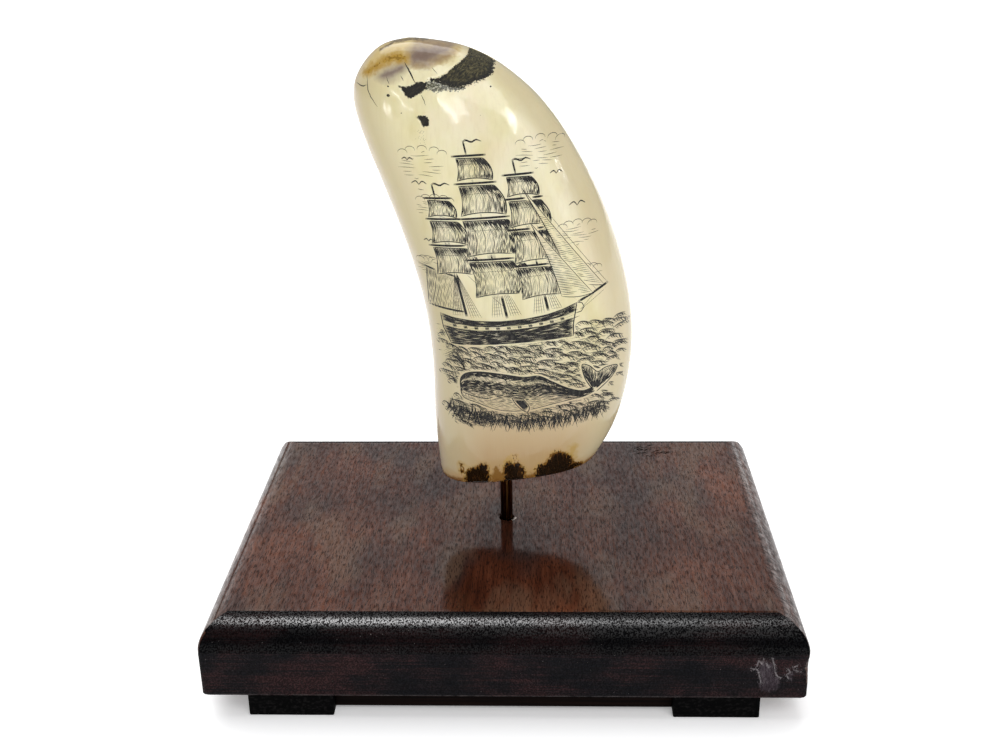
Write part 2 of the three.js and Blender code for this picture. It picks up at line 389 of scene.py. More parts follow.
def ease(mesh, edges, radius, segments):
    bmesh.ops.bevel(
        mesh, geom=edges, offset=radius, offset_type="OFFSET", affect="EDGES",
        segments=segments, profile=0.5, material=-1, clamp_overlap=True,
    )


def edges_where(mesh, test):
    return [edge for edge in mesh.edges if all(test(v.co) for v in edge.verts)]


def hold_flats(mesh, area, width):
    """Puts a narrow strip round each large flat face, so that smooth shading leaves it flat."""
    flats = [face for face in mesh.faces if face.calc_area() > area]
    bmesh.ops.inset_individual(mesh, faces=flats, thickness=width, use_even_offset=True)


board_low, board_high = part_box("base_board")
board_mesh = block(board_low, board_high)
ease(board_mesh, edges_where(board_mesh, lambda p: p.z > board_high.z - TOUCH), ROUND_OVER, 14)
ease(board_mesh, edges_where(board_mesh, lambda p: p.z < board_low.z + TOUCH), ARRIS, 3)


def on_mitre(point):
    aside = (board_high.x - abs(point.x)) - (board_high.y - abs(point.y))
    return abs(aside) < CLOSE and point.z < board_high.z - MITRE_SHARP


mitres = [
    e for e in edges_where(board_mesh, on_mitre)
    if (e.verts[0].co.xy - e.verts[1].co.xy).length < 5 * MM
]
ease(board_mesh, mitres, CORNER_EASE, 3)
hold_flats(board_mesh, 4e-4, SHOULDER)

# The front face is cut fine where it was knocked, and the corner beside it lost a chip.
KNOCK_START = 53.0 * MM
FINE_CUTS = 48
front = [f for f in board_mesh.faces if f.normal.y < -0.999 and f.calc_area() > 1e-3]
front += list({part for f in front for part in list(f.edges) + list(f.verts)})
bmesh.ops.bisect_plane(board_mesh, geom=front, dist=TOUCH, plane_co=(KNOCK_START, 0, 0), plane_no=(1, 0, 0))


def by_knock(point):
    in_front = point.y < board_low.y + 2 * MM
    return in_front and point.x > KNOCK_START - CLOSE and 6 * MM < point.z < 18.5 * MM


fine = []
for edge in edges_where(board_mesh, by_knock):
    run = edge.verts[1].co - edge.verts[0].co
    on_face = all(v.co.y < board_low.y + TOUCH for v in edge.verts)
    if abs(run.z) > 5 * MM or (abs(run.x) > 5 * MM and on_face):
        fine.append(edge)
bmesh.ops.subdivide_edges(board_mesh, edges=fine, cuts=FINE_CUTS, use_grid_fill=True)
CHIP_HEIGHT = 14.4
CHIP_REACH = 2.2
CHIP_DEPTH = 1.0
CHIP_WIDTH = 1.6 * MM
# The rounds are cut again by the corners, so that their shading bends only close to a mitre, and the
# top of each mitre is a sharp line.
for across_board, reach in ((Vector((1, 0, 0)), board_high.x), (Vector((0, 1, 0)), board_high.y)):
    for side in (-1, 1):
        rounds = [f for f in board_mesh.faces if 0.02 < f.normal.z < 0.995]
        rounds += list({part for f in rounds for part in list(f.edges) + list(f.verts)})
        cut_at = across_board * side * (reach - ROUND_OVER - SHOULDER)
        bmesh.ops.bisect_plane(board_mesh, geom=rounds, dist=TOUCH, plane_co=cut_at, plane_no=across_board)


def on_sharp_mitre(point):
    aside = (board_high.x - abs(point.x)) - (board_high.y - abs(point.y))
    return abs(aside) < CLOSE and point.z > board_high.z - MITRE_SHARP - CLOSE


for edge in edges_where(board_mesh, on_sharp_mitre):
    edge.smooth = False
for corner in board_mesh.verts:
    if by_knock(corner.co) and corner.co.x > board_high.x - 1.5 * MM:
        height = corner.co.z / MM
        share = math.exp(-((height - CHIP_HEIGHT) / CHIP_REACH) ** 2)
        rough = noise.noise(Vector((0, 0, height * 1.1))) * 0.5
        rough += noise.noise(Vector((4, 0, height * 2.7))) * 0.3
        near = 1.0 - min(1.0, (board_high.x - corner.co.x + corner.co.y - board_low.y) / CHIP_WIDTH)
        corner.co += Vector((-1, 1, 0)).normalized() * max(0.0, CHIP_DEPTH * share * (1 + rough)) * near * MM

# The hole for the rod, with a slightly broken rim, a flat strip round it and a painted highlight on the rim
# at its front right.
top_faces = [f for f in board_mesh.faces if f.normal.z > 0.999 and f.calc_area() > 4e-3]
bmesh.ops.delete(board_mesh, geom=top_faces, context="FACES_ONLY")
hole_steps = (
    (HOLE_RADIUS + 3 * RIM_BREAK, 0.0),
    (HOLE_RADIUS + RIM_BREAK, 0.0),
    (HOLE_RADIUS, -RIM_BREAK),
    (HOLE_RADIUS, -2 * RIM_BREAK),
    (HOLE_RADIUS, -HOLE_DEPTH),
)
hole_verts = []
for radius, height in hole_steps:
    where = Matrix.Translation((0, 0, board_high.z + height))
    made = bmesh.ops.create_circle(board_mesh, segments=40, radius=radius, cap_ends=False, matrix=where)
    hole_verts.append(set(made["verts"]))
for upper, lower in zip(hole_verts, hole_verts[1:]):
    rings = [e for e in board_mesh.edges if set(e.verts) <= upper or set(e.verts) <= lower]
    bmesh.ops.bridge_loops(board_mesh, edges=rings)
bottom_ring = [e for e in board_mesh.edges if set(e.verts) <= hole_verts[-1]]
bmesh.ops.edgeloop_fill(board_mesh, edges=bottom_ring)
top_outline = [e for e in board_mesh.edges if e.is_boundary]
bmesh.ops.triangle_fill(board_mesh, use_beauty=True, edges=top_outline)
bmesh.ops.recalc_face_normals(board_mesh, faces=board_mesh.faces)
for face in board_mesh.faces:
    eased_corner = face.normal.z < 0.02 and abs(face.normal.y) > 0.1
    if (abs(face.normal.y) > abs(face.normal.x) or eased_corner) and face.normal.z < 0.995:
        face.material_index = 1 if face.normal.z > 0.02 else 2
    # Faces of the hole's rim at its front right get a pale finish: a painted highlight.
    middle_of = face.calc_center_median()
    rim_reach = (middle_of.xy.length - HOLE_RADIUS) / RIM_BREAK
    rim_turn = math.atan2(middle_of.y, middle_of.x)
    rim_glint_face = 0 < rim_reach < 1 and -1.45 < rim_turn < -0.1
    rim_glint_face = rim_glint_face or 1 < rim_reach < 3 and -1.0 < rim_turn < -0.2
    if middle_of.z > 20 * MM and rim_glint_face:
        face.material_index = 3
board = finished("lacquered_board", board_mesh, long_grain.material, "base_board")
board.data.materials.append(shaded_round_grain.material)
board.data.materials.append(face_grain.material)
# The pale finish of that rim crescent is a painted highlight.
hole_rim_highlight = Finish("hole_rim_highlight", Roughness=0.5)
rim_highlight_grain = hole_rim_highlight.grain((0.3, 0.3, 0.3), detail=3)
hole_rim_highlight.colour_by(rim_highlight_grain, [(0.4, (0.10, 0.06, 0.045)), (0.55, (0.62, 0.52, 0.44))])
board.data.materials.append(hole_rim_highlight.material)
lacquer_glints.objects.link(board)


def distances(points, line, closed):
    """Distance in mm from each point to a line of points, below zero inside a closed one."""
    start = np.array(line)
    end = np.roll(start, -1, axis=0)
    if not closed:
        start, end = start[:-1], end[:-1]
    nearest = np.full(len(points), 1e9)
    inside = np.zeros(len(points), dtype=bool)
    for a, b in zip(start, end):
        edge = b - a
        share = np.clip(((points - a) @ edge) / (edge @ edge), 0, 1)
        nearest = np.minimum(nearest, np.linalg.norm(points - a - share[:, None] * edge, axis=1))
        crosses = (a[1] > points[:, 1]) != (b[1] > points[:, 1])
        run = (points[:, 1] - a[1]) / (edge[1] if edge[1] else 1.0)
        inside ^= crosses & (points[:, 0] < a[0] + run * edge[0])
    return np.where(inside & closed, -nearest, nearest)


def corners_of(piece):
    """Every corner of a piece's mesh in mm."""
    made = np.empty(len(piece.data.vertices) * 3)
    piece.data.vertices.foreach_get("co", made)
    return made.reshape(-1, 3) / MM


def store(piece, name, values):
    piece.data.attributes.new(name, "FLOAT", "POINT").data.foreach_set("value", values)
    return values


FAR = 99.0
board_corners = corners_of(board)
face_view = board_corners[:, [0, 2]]
behind_face = board_corners[:, 1] > board_low.y / MM + 2
bared = np.minimum(distances(face_view, KNOCK, True), distances(face_view, GRAZE, True) + 0.45)
store(board, "knock", np.where(behind_face, FAR, bared))
rims = np.min([distances(face_view, line, False) for line in KNOCK_RIMS], axis=0)
store(board, "knock_rim", np.where(behind_face, FAR, rims))


# The blocks under the corners: four squares of sawn wood, stained black, with lightly broken edges.
# The whole object stands on them.
black_stain = Finish("black_stain", Roughness=0.7, Specular_IOR_Level=0.03)
worn = black_stain.grain((0.8, 9, 0.5), detail=5)
black_stain.colour_by(worn, [(0.50, (0.0008, 0.0008, 0.0009)), (0.76, (0.012, 0.011, 0.011))])
for foot in ("foot_front_left", "foot_front_right", "foot_back_left", "foot_back_right"):
    low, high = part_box(foot)
    foot_mesh = block(low, high)
    ease(foot_mesh, list(foot_mesh.edges), 0.4 * MM, 3)
    hold_flats(foot_mesh, 5e-5, 0.2 * MM)
    finished("block_" + foot, foot_mesh, black_stain.material, foot)


# The rails: thin strips of dark wood under the front and back of the board. They are set back
# between the blocks and clear of the floor.
# Their near-black colour is dark stain with painted shade on top, for the shadow they sit in under the
# board.
rail_stain_and_shade = Finish("rail_stain_and_shade", Roughness=0.5, Specular_IOR_Level=0.03)
rail_streaks = rail_stain_and_shade.grain((30, 0.6, 0.6), detail=4)
rail_stain_and_shade.colour_by(rail_streaks, [(0.4, (0.0025, 0.0014, 0.0012)), (0.65, (0.009, 0.004, 0.003))])
for rail in ("rail_front", "rail_back"):
    low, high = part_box(rail)
    rail_mesh = block(low, high)
    ease(rail_mesh, edges_where(rail_mesh, lambda p: p.z < low.z + TOUCH), 0.4 * MM, 3)
    hold_flats(rail_mesh, 1e-4, 0.2 * MM)
    finished("strip_" + rail, rail_mesh, rail_stain_and_shade.material, rail)


# The rod: drawn brass gone brown. It stands in the board's hole and goes up into the root, and it
# alone carries the tooth.
aged_brass = Finish("aged_brass", Metallic=1.0, Roughness=0.28)
tarnish = aged_brass.grain((0.5, 0.5, 12), detail=5)
aged_brass.colour_by(tarnish, [
    (0.42, (0.020, 0.006, 0.002)),
    (0.54, (0.090, 0.034, 0.009)),
    (0.68, (0.46, 0.25, 0.080)),
])
rod_low, rod_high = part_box("brass_rod")
rod_radius = (rod_high.x - rod_low.x) / 2
rod_middle = (rod_high.z + rod_low.z) / 2
rod_mesh = bmesh.new()
bmesh.ops.create_cone(
    rod_mesh, cap_ends=True, segments=64, radius1=rod_radius, radius2=rod_radius,
    depth=rod_high.z - rod_low.z, matrix=Matrix.Translation((0, 0, rod_middle)),
)
end_edges = [e for e in rod_mesh.edges if any(len(f.verts) > 4 for f in e.link_faces)]
ease(rod_mesh, end_edges, 0.15 * MM, 2)
finished("drawn_rod", rod_mesh, aged_brass.material, "brass_rod")


# The tooth: sawn off square at the root, drilled for the rod, and polished all over except for a
# rough dark remnant of its outer skin near the tip. Smoke-grey and ochre clouds lie at the tip,
# and the root keeps dark brown stains.
SOCKET_DEPTH = 18 * MM
BOARD_TOP = board_high.z
ROOT_LEFT = (-16.5, 14.6)  # mm, where the sawn root meets the tooth's hollow side
ROOT_SLOPE = 0.135
FRONT_LIMIT = 1.5  # mm behind the middle of the tooth, where marks on its front have faded out

tooth_mesh = bmesh.new()
tooth_mesh.from_mesh(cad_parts["whale_tooth"].data)
bmesh.ops.remove_doubles(tooth_mesh, verts=tooth_mesh.verts, dist=TOUCH)
tooth_mesh.normal_update()
lowest = min(tooth_mesh.faces, key=lambda face: face.normal.z * (face.calc_area() > 2e-6))
sawn = lowest.normal.copy()
in_socket = [f for f in tooth_mesh.faces if all(v.co.xy.length < 2 * MM for v in f.verts)]
on_saw_cut = [f for f in tooth_mesh.faces if f.normal.dot(sawn) > 0.9995]
bmesh.ops.delete(tooth_mesh, geom=list(set(in_socket + on_saw_cut)), context="FACES")
bmesh.ops.join_triangles(
    tooth_mesh, faces=tooth_mesh.faces, cmp_seam=False, cmp_sharp=False, cmp_uvs=False,
    cmp_vcols=False, cmp_materials=False,
    angle_face_threshold=math.radians(40), angle_shape_threshold=math.radians(70),
)
root_loop = [e for e in tooth_mesh.edges if e.is_boundary]
on_plane = root_loop[0].verts[0].co.copy()
root_centre = Vector((0, 0, on_plane.z + (sawn.x * on_plane.x + sawn.y * on_plane.y) / sawn.z))


def grow_ring(edges, move):
    """Extrudes a loop, moves each new corner, and gives the new loop."""
    made = bmesh.ops.extrude_edge_only(tooth_mesh, edges=edges)["geom"]
    for part in made:
        if isinstance(part, bmesh.types.BMVert):
            part.co = move(part.co)
    return [part for part in made if isinstance(part, bmesh.types.BMEdge) and part.is_boundary]


def towards_hole(share, least):
    def move(point):
        reach = point - root_centre
        return root_centre + reach.normalized() * (least + (reach.length - least) * share)
    return move


loop = grow_ring(root_loop, towards_hole(0.5, HOLE_RADIUS))
loop = grow_ring(loop, towards_hole(0.0, HOLE_RADIUS + RIM_BREAK))
loop = grow_ring(loop, towards_hole(0.0, HOLE_RADIUS))
loop = grow_ring(loop, lambda point: point + Vector((0, 0, RIM_BREAK)))
loop = grow_ring(loop, lambda point: point + Vector((0, 0, SOCKET_DEPTH - RIM_BREAK)))
bmesh.ops.edgeloop_fill(tooth_mesh, edges=loop)
bmesh.ops.recalc_face_normals(tooth_mesh, faces=tooth_mesh.faces)

ivory = Finish(
    "polished_ivory", Roughness=0.11, IOR=1.5, Specular_IOR_Level=0.4, Subsurface_Weight=0.2,
    Subsurface_Radius=(1.0, 0.7, 0.45), Subsurface_Scale=1.2 * MM,
)
tooth = finished("engraved_tooth", tooth_mesh, ivory.material, "whale_tooth")
rounding = tooth.modifiers.new("rounding", "SUBSURF")
rounding.levels = rounding.render_levels = 3
rounded = bpy.data.meshes.new_from_object(tooth.evaluated_get(bpy.context.evaluated_depsgraph_get()))
tooth.modifiers.clear()
tooth.data = rounded
polish_glints.objects.link(tooth)
all_but_tooth.objects.link(tooth)
all_but_tooth.collection_objects[0].light_linking.link_state = "EXCLUDE"

# Marks on the front, drawn as outlines in mm: X, and height over the board.
SKIN = [
    [(-6.9, 121.0), (-5.6, 120.9), (-3.4, 119.9), (-1.4, 118.6), (-1.3, 117.2), (-1.5, 115.9), (-2.6, 115.2),
     (-3.8, 114.8), (-5.3, 114.4), (-7.1, 113.8), (-8.6, 113.3), (-10.9, 113.6), (-12.4, 114.2),
     (-13.4, 114.5), (-14.9, 114.9), (-15.8, 115.0), (-14.9, 115.4), (-13.1, 115.6),
     (-11.6, 116.4), (-9.9, 117.8), (-8.4, 118.8), (-7.2, 119.7)],
    [(-22.4, 113.8), (-21.1, 113.5), (-19.8, 113.8), (-18.5, 114.4), (-17.2, 114.7),
     (-16.2, 114.4), (-16.1, 113.5), (-17.0, 112.5), (-18.0, 112.1), (-19.1, 111.4),
     (-20.1, 111.1), (-20.9, 111.8), (-21.5, 112.6)],
    [(-18.5, 107.2), (-17.6, 107.6), (-16.3, 107.5), (-15.7, 106.7), (-15.7, 105.5),
     (-16.8, 105.0), (-17.3, 105.5), (-17.6, 106.5)],
]
SKIN_FLOOR = [(-1.4, 117.0), (-1.6, 115.9), (-2.6, 115.2), (-3.8, 114.8), (-5.3, 114.4),
              (-7.1, 113.8), (-8.6, 113.3), (-10.9, 113.6), (-12.4, 114.2), (-14.9, 114.9)]
THIN_SKIN = [[(-16.3, 113.3), (-14.4, 112.8), (-12.0, 113.0), (-9.6, 112.9), (-7.6, 113.3), (-9.0, 114.0),
              (-12.4, 114.7), (-15.6, 114.7)]]
SMOKE = [
    [(-20.1, 119.5), (-19.9, 120.6), (-19.1, 121.5), (-16.1, 121.8), (-12.6, 121.5),
     (-10.8, 121.6), (-11.4, 120.4), (-13.7, 119.3), (-16.0, 118.4), (-17.5, 118.2),
     (-19.0, 118.4)],
    [(-27.1, 115.4), (-25.8, 116.6), (-24.0, 117.4), (-22.1, 118.1), (-20.8, 118.1),
     (-21.1, 117.0), (-22.1, 116.3), (-23.7, 115.5), (-25.8, 115.0)],
]
OCHRE = [
    [(-30.2, 115.7), (-28.6, 117.6), (-26.6, 118.7), (-24.8, 119.8), (-22.7, 120.3),
     (-20.6, 119.7), (-20.8, 118.8), (-23.2, 118.8), (-25.3, 118.3), (-27.4, 117.5),
     (-29.4, 115.9)],
]
FAWN = [
    [(-19.6, 117.6), (-16.0, 117.6), (-13.0, 118.8), (-10.4, 119.6), (-9.6, 120.8), (-11.4, 120.4),
     (-13.5, 119.5), (-16.0, 118.4), (-19.0, 118.2)],
    [(-18.8, 122.9), (-12.3, 122.2), (-10.6, 121.6), (-11.6, 121.0), (-15.0, 121.9), (-18.5, 122.1)],
    [(-30.4, 116.1), (-28.6, 116.3), (-26.9, 117.6), (-28.2, 117.7)],
]
TIP_TAN = [[(-31.2, 115.6), (-29.6, 118.6), (-27.6, 121.0), (-25.0, 122.8), (-20.4, 123.9),
            (-14.0, 123.6), (-10.2, 122.3), (-8.8, 121.0), (-9.6, 119.9), (-12.1, 119.0),
            (-15.0, 117.8), (-18.3, 117.5), (-20.4, 118.4), (-22.0, 118.5), (-24.5, 117.9),
            (-27.5, 116.4), (-29.6, 115.7)]]
# A dark line along the top outline near the tip: painted shade at the edge where the surface turns away.
TOP_EDGE_SHADE = [(-26.9, 120.7), (-25.2, 121.6), (-23.7, 122.3), (-20.5, 122.8), (-18.2, 122.8),
            (-16.4, 122.6)]
ROOT_STAIN = [
    [(-9.6, 14.0), (-9.7, 18.8), (-8.8, 20.1), (-7.4, 20.6), (-6.3, 21.3), (-5.4, 22.0),
     (-4.5, 21.9), (-4.1, 20.7), (-3.9, 18.7), (-4.3, 14.0)],
    [(-0.1, 14.0), (0.0, 21.7), (1.0, 22.9), (2.2, 22.3), (3.4, 22.4), (4.6, 21.3),
     (4.9, 19.7), (4.8, 14.0)],
    [(7.7, 14.0), (7.9, 20.5), (8.6, 21.7), (10.3, 22.4), (11.3, 24.0), (12.4, 25.3),
     (13.2, 25.5), (14.1, 25.2), (15.8, 24.3), (16.4, 23.4), (16.6, 22.0), (19.0, 21.0),
     (19.2, 20.1), (17.6, 20.1), (16.2, 14.0)],
    [(-10.9, 21.1), (-10.5, 21.1), (-10.5, 20.7), (-10.9, 20.7)],
    [(-10.8, 19.3), (-10.4, 19.3), (-10.4, 18.9), (-10.8, 18.9)],
    [(2.4, 24.7), (2.8, 24.7), (2.8, 24.3), (2.4, 24.3)],
]
ROOT_TAN = [
    [(-3.2, 14.0), (-3.1, 18.8), (-2.5, 21.0), (-0.9, 21.3), (-0.4, 18.9), (-0.4, 14.0)],
    [(4.8, 14.0), (4.8, 19.2), (7.8, 19.4), (7.8, 14.0)],
]
ROOT_YELLOW = [[(15.0, 24.0), (15.8, 25.4), (16.5, 27.1), (17.7, 26.9), (17.6, 25.3), (17.1, 23.0)],
               [(0.2, 21.5), (0.8, 24.4), (2.0, 24.0), (1.8, 21.5)]]


corners = corners_of(tooth)
front_view = np.column_stack((corners[:, 0], corners[:, 2] - BOARD_TOP / MM))
edge_wander = [noise.noise(Vector(c) * 0.45) + 0.4 * noise.noise(Vector(c) * 1.7) for c in corners]
behind = corners[:, 1] - FRONT_LIMIT + 3.0 * np.array(edge_wander)


def store_outlines(name, outlines, behind_limit=0.0):
    nearest = np.min([distances(front_view, outline, True) for outline in outlines], axis=0)
    return store(tooth, name, np.maximum(nearest, behind - behind_limit))


skin = store_outlines("skin", SKIN)
store(tooth, "skin_floor", distances(front_view, SKIN_FLOOR, False))
store(tooth, "top_edge_shade", np.maximum(distances(front_view, TOP_EDGE_SHADE, False), behind))
store_outlines("thin_skin", THIN_SKIN)
store_outlines("smoke", SMOKE)
store_outlines("ochre", OCHRE)
store_outlines("fawn", FAWN)
store_outlines("tip_tan", TIP_TAN, 2.0)
store_outlines("root_stain", ROOT_STAIN)
store_outlines("root_tan", ROOT_TAN)
store_outlines("root_yellow", ROOT_YELLOW)
bands = np.round(front_view[:, 1])
levels = np.unique(bands)
left = np.interp(front_view[:, 1], levels, [front_view[bands == level, 0].min() for level in levels])
right = np.interp(front_view[:, 1], levels, [front_view[bands == level, 0].max() for level in levels])
across = (front_view[:, 0] - left) / np.maximum(right - left, 1.0) * 2 - 1
store(tooth, "across", across)
root_plane = ROOT_LEFT[1] + (front_view[:, 0] - ROOT_LEFT[0]) * ROOT_SLOPE
store(tooth, "over_root", front_view[:, 1] - root_plane)

# The skin lies a little lower than the polished ivory round it, and is rough.
normals = np.empty(len(tooth.data.vertices) * 3)
tooth.data.vertices.foreach_get("normal", normals)
normals = normals.reshape(-1, 3)
for index in np.flatnonzero(skin < 0.3):
    depth = 0.22 * min(1.0, (0.3 - skin[index]) / 0.6)
    bark = noise.noise(Vector(corners[index]) * 1.3) * 0.16 * min(1.0, (0.3 - skin[index]) / 0.6)
    corners[index] -= normals[index] * (depth + bark)
tooth.data.vertices.foreach_set("co", (corners * MM).ravel())
tooth.data.update()

# Its colours: cream, darker and browner towards the root, partly its own tone and partly painted shade, and
# darker and pinker along both sides, painted shade where the surface turns away.
height = ivory.along("Z")
side = ivory.mark("across")
mottle = ivory.grain((8, 8, 18), detail=4)
cream = ivory.ramp(mottle, [
    (0.34, (0.71, 0.635, 0.35)),
    (0.50, (0.79, 0.725, 0.46)),
    (0.68, (0.84, 0.78, 0.56)),
])
blush = ivory.fade(ivory.grain((13, 13, 20), detail=3, offset=(5, 2, 1)), 0.48, 0.64, 0.0, 0.5)
cream = ivory.mix(blush, cream, (0.80, 0.67, 0.50))
middle = ivory.math("SUBTRACT", 1.0, ivory.math("ABSOLUTE", side))
# Darker and browner towards the root: partly the ivory's own tone, partly painted shade.
root_tone_and_shade = ivory.fade(height, 0.090, 0.042)
body = ivory.mix(root_tone_and_shade, cream, (0.66, 0.535, 0.345))
root_brown = ivory.times(ivory.fade(height, 0.070, 0.050), ivory.fade(middle, 0.12, 0.62))
body = ivory.lay(body, (0.52, 0.345, 0.16), root_brown, 0.9)
# Both sides are painted darker and pinker where the surface turns away from the light: painted shade.
right_side_shade = ivory.fade(ivory.math("MULTIPLY_ADD", mottle, 0.12, side), 0.72, 0.90)
body = ivory.lay(body, (0.62, 0.53, 0.33), right_side_shade, 0.8)
left_side_shade = ivory.fade(ivory.math("MULTIPLY_ADD", mottle, -0.12, side), -0.55, -0.88)
left_side_shade = ivory.times(left_side_shade, ivory.fade(height, 0.042, 0.075, 0.25, 0.85))
body = ivory.mix(left_side_shade, body, (0.56, 0.48, 0.27))
# The left rim is painted darker still: painted shade at the edge.
left_rim_shade = ivory.fade(side, -0.86, -0.97)
body = ivory.lay(body, (0.66, 0.55, 0.42), left_rim_shade, 0.7)
fibres = ivory.grain((0.6, 0.6, 26), detail=3)
body = ivory.mix(ivory.fade(fibres, 0.5, 0.75, 0.0, 0.16), body, (0.58, 0.47, 0.28))
faint = ivory.grain((3.0, 3.0, 1.2), detail=5, roughness=0.7)
body = ivory.mix(ivory.fade(faint, 0.60, 0.75, 0.0, 0.22), body, (0.60, 0.47, 0.26))
over_root = ivory.mark("over_root")
lip_grain = ivory.grain((2.5, 2.5, 1.5), detail=4)
lip = ivory.fade(ivory.math("MULTIPLY_ADD", lip_grain, 2.4, over_root), 5.4, 2.2)
body = ivory.lay(body, (0.50, 0.29, 0.11), lip, 0.65)
lip_line = ivory.fade(ivory.math("MULTIPLY_ADD", lip_grain, 1.6, over_root), 2.9, 2.1)
body = ivory.lay(body, (0.20, 0.080, 0.018), lip_line, 0.8)


def stain(under, mark, colour, start, end, strength=1.0, ragged=0.5, size=1.2, stretch=1.0):
    """Lays a colour inside a stored outline, faded from start to end mm with a ragged edge."""
    rag = ivory.grain((size, size, size * stretch), detail=4)
    rag = ivory.times(ivory.math("SUBTRACT", rag, 0.5), 4.0)
    rag = ivory.times(rag, ragged)
    share = ivory.fade(ivory.math("ADD", ivory.mark(mark), rag), start, end)
    return ivory.lay(under, colour, share, strength), share


body, _ = stain(body, "tip_tan", (0.58, 0.44, 0.19), 0.9, -0.6, 0.85, 0.4)
body, _ = stain(body, "fawn", (0.34, 0.22, 0.085), 0.9, -0.6, 0.8, 0.6)
body, _ = stain(body, "smoke", (0.22, 0.165, 0.145), 1.5, -0.8, 0.9, 0.40, 2.0)
body, _ = stain(body, "smoke", (0.17, 0.110, 0.080), -0.2, -1.6, 0.6, 0.7, 1.3)
body, _ = stain(body, "ochre", (0.42, 0.25, 0.036), 1.1, -0.3, 0.95, 0.5)
body, _ = stain(body, "ochre", (0.20, 0.110, 0.016), -0.15, -0.75, 0.75, 0.8, 0.5)
# The painted shade along the top edge.
body, _ = stain(body, "top_edge_shade", (0.08, 0.06, 0.04), 0.32, 0.06, 0.75, 0.15, 0.8)
body, _ = stain(body, "root_stain", (0.56, 0.36, 0.11), 1.3, 0.2, 0.65, 0.7)
body, _ = stain(body, "root_yellow", (0.52, 0.33, 0.08), 0.9, -0.3, 0.7, 0.6)
body, _ = stain(body, "root_tan", (0.25, 0.115, 0.022), 0.6, -0.4, 0.9, 0.9, 0.7, 2.2)
body, _ = stain(body, "root_stain", (0.20, 0.085, 0.014), 0.55, 0.05, 0.95, 0.75, 0.55, 2.0)
body, in_stain = stain(body, "root_stain", (0.008, 0.004, 0.0015), 0.20, -0.30, 0.98, 0.9, 0.5, 2.0)
brown_share = ivory.times(in_stain, ivory.fade(ivory.grain((0.7, 0.7, 2.2), detail=3), 0.55, 0.68))
body = ivory.lay(body, (0.055, 0.022, 0.006), brown_share, 0.6)
thin_colour = ivory.ramp(ivory.grain((0.5, 0.5, 0.35), detail=4, roughness=0.7), [
    (0.42, (0.010, 0.011, 0.007)),
    (0.52, (0.075, 0.080, 0.055)),
    (0.60, (0.55, 0.54, 0.42)),
])
body, _ = stain(body, "thin_skin", thin_colour, 0.42, 0.08, 0.92, 0.6, 0.45)
bark = ivory.turned_grain(
    ivory.place(), (0, -42, 0), (1.3, 0.5, 0.38), Detail=5.0, Roughness=0.7, Distortion=0.4,
)
bark_colour = ivory.ramp(bark, [
    (0.38, (0.0060, 0.0056, 0.003)),
    (0.50, (0.031, 0.0265, 0.0095)),
    (0.62, (0.118, 0.100, 0.040)),
])
low_edge = ivory.fade(ivory.mark("skin_floor"), 1.5, 0.6)
bark_colour = ivory.lay(bark_colour, (0.004, 0.004, 0.004), low_edge, 0.8)
narrow = ivory.fade(ivory.along("X"), -0.0150, -0.0158)
bark_colour = ivory.lay(bark_colour, (0.006, 0.005, 0.004), narrow, 0.85)
ragged_floor = ivory.fade(ivory.mark("skin_floor"), 2.2, 0.5, 0.22, 0.60)
body, on_skin = stain(body, "skin", bark_colour, 0.08, -0.08, 1.0, ragged_floor, 0.45)
ivory.feed(Base_Color=body)
ivory.feed(Roughness=ivory.fade(on_skin, 0.0, 1.0, 0.10, 0.75))
skin_relief = ivory.times(ivory.grain((0.45, 0.45, 0.7), detail=5), on_skin)
hand_polish = ivory.times(ivory.grain((3.2, 3.2, 4.4), detail=1), 0.10)
relief = ivory.math("MULTIPLY_ADD", skin_relief, 0.35, hand_polish)
ivory.feed(Normal=ivory.bump(relief, MM, 1.0))


# The engraving: a three-masted ship over a sperm whale, cut as thousands of short tapered
# strokes and filled with black ink. Points are in mm as seen from the front: X, and height over
# the board. What is drawn first stands in front and hides what is drawn later.
STROKE_STEP = 0.8
INK_RELIEF = 0.12
INK_LIFT = 0.006

surface = BVHTree.FromPolygons(
    [v.co.copy() for v in tooth.data.vertices], [tuple(f.vertices) for f in tooth.data.polygons]
)


def on_tooth(x, h):
    """The point and normal of the tooth's front face behind a point of the drawing."""
    place, normal, _, _ = surface.ray_cast(Vector((x * MM, -0.1, h * MM + BOARD_TOP)), Vector((0, 1, 0)))
    return place, normal


def inside(point, outline):
    x, y = point
    found = False
    before = outline[-1]
    for corner in outline:
        if (corner[1] > y) != (before[1] > y):
            if x < (before[0] - corner[0]) * (y - corner[1]) / (before[1] - corner[1]) + corner[0]:
                found = not found
        before = corner
    return found


def resample(points, step):
    """Points at even steps along a line."""
    made = [points[0]]
    for a, b in zip(points, points[1:]):
        count = max(1, round(math.dist(a, b) / step))
        for i in range(1, count + 1):
            made.append((a[0] + (b[0] - a[0]) * i / count, a[1] + (b[1] - a[1]) * i / count))
    return made


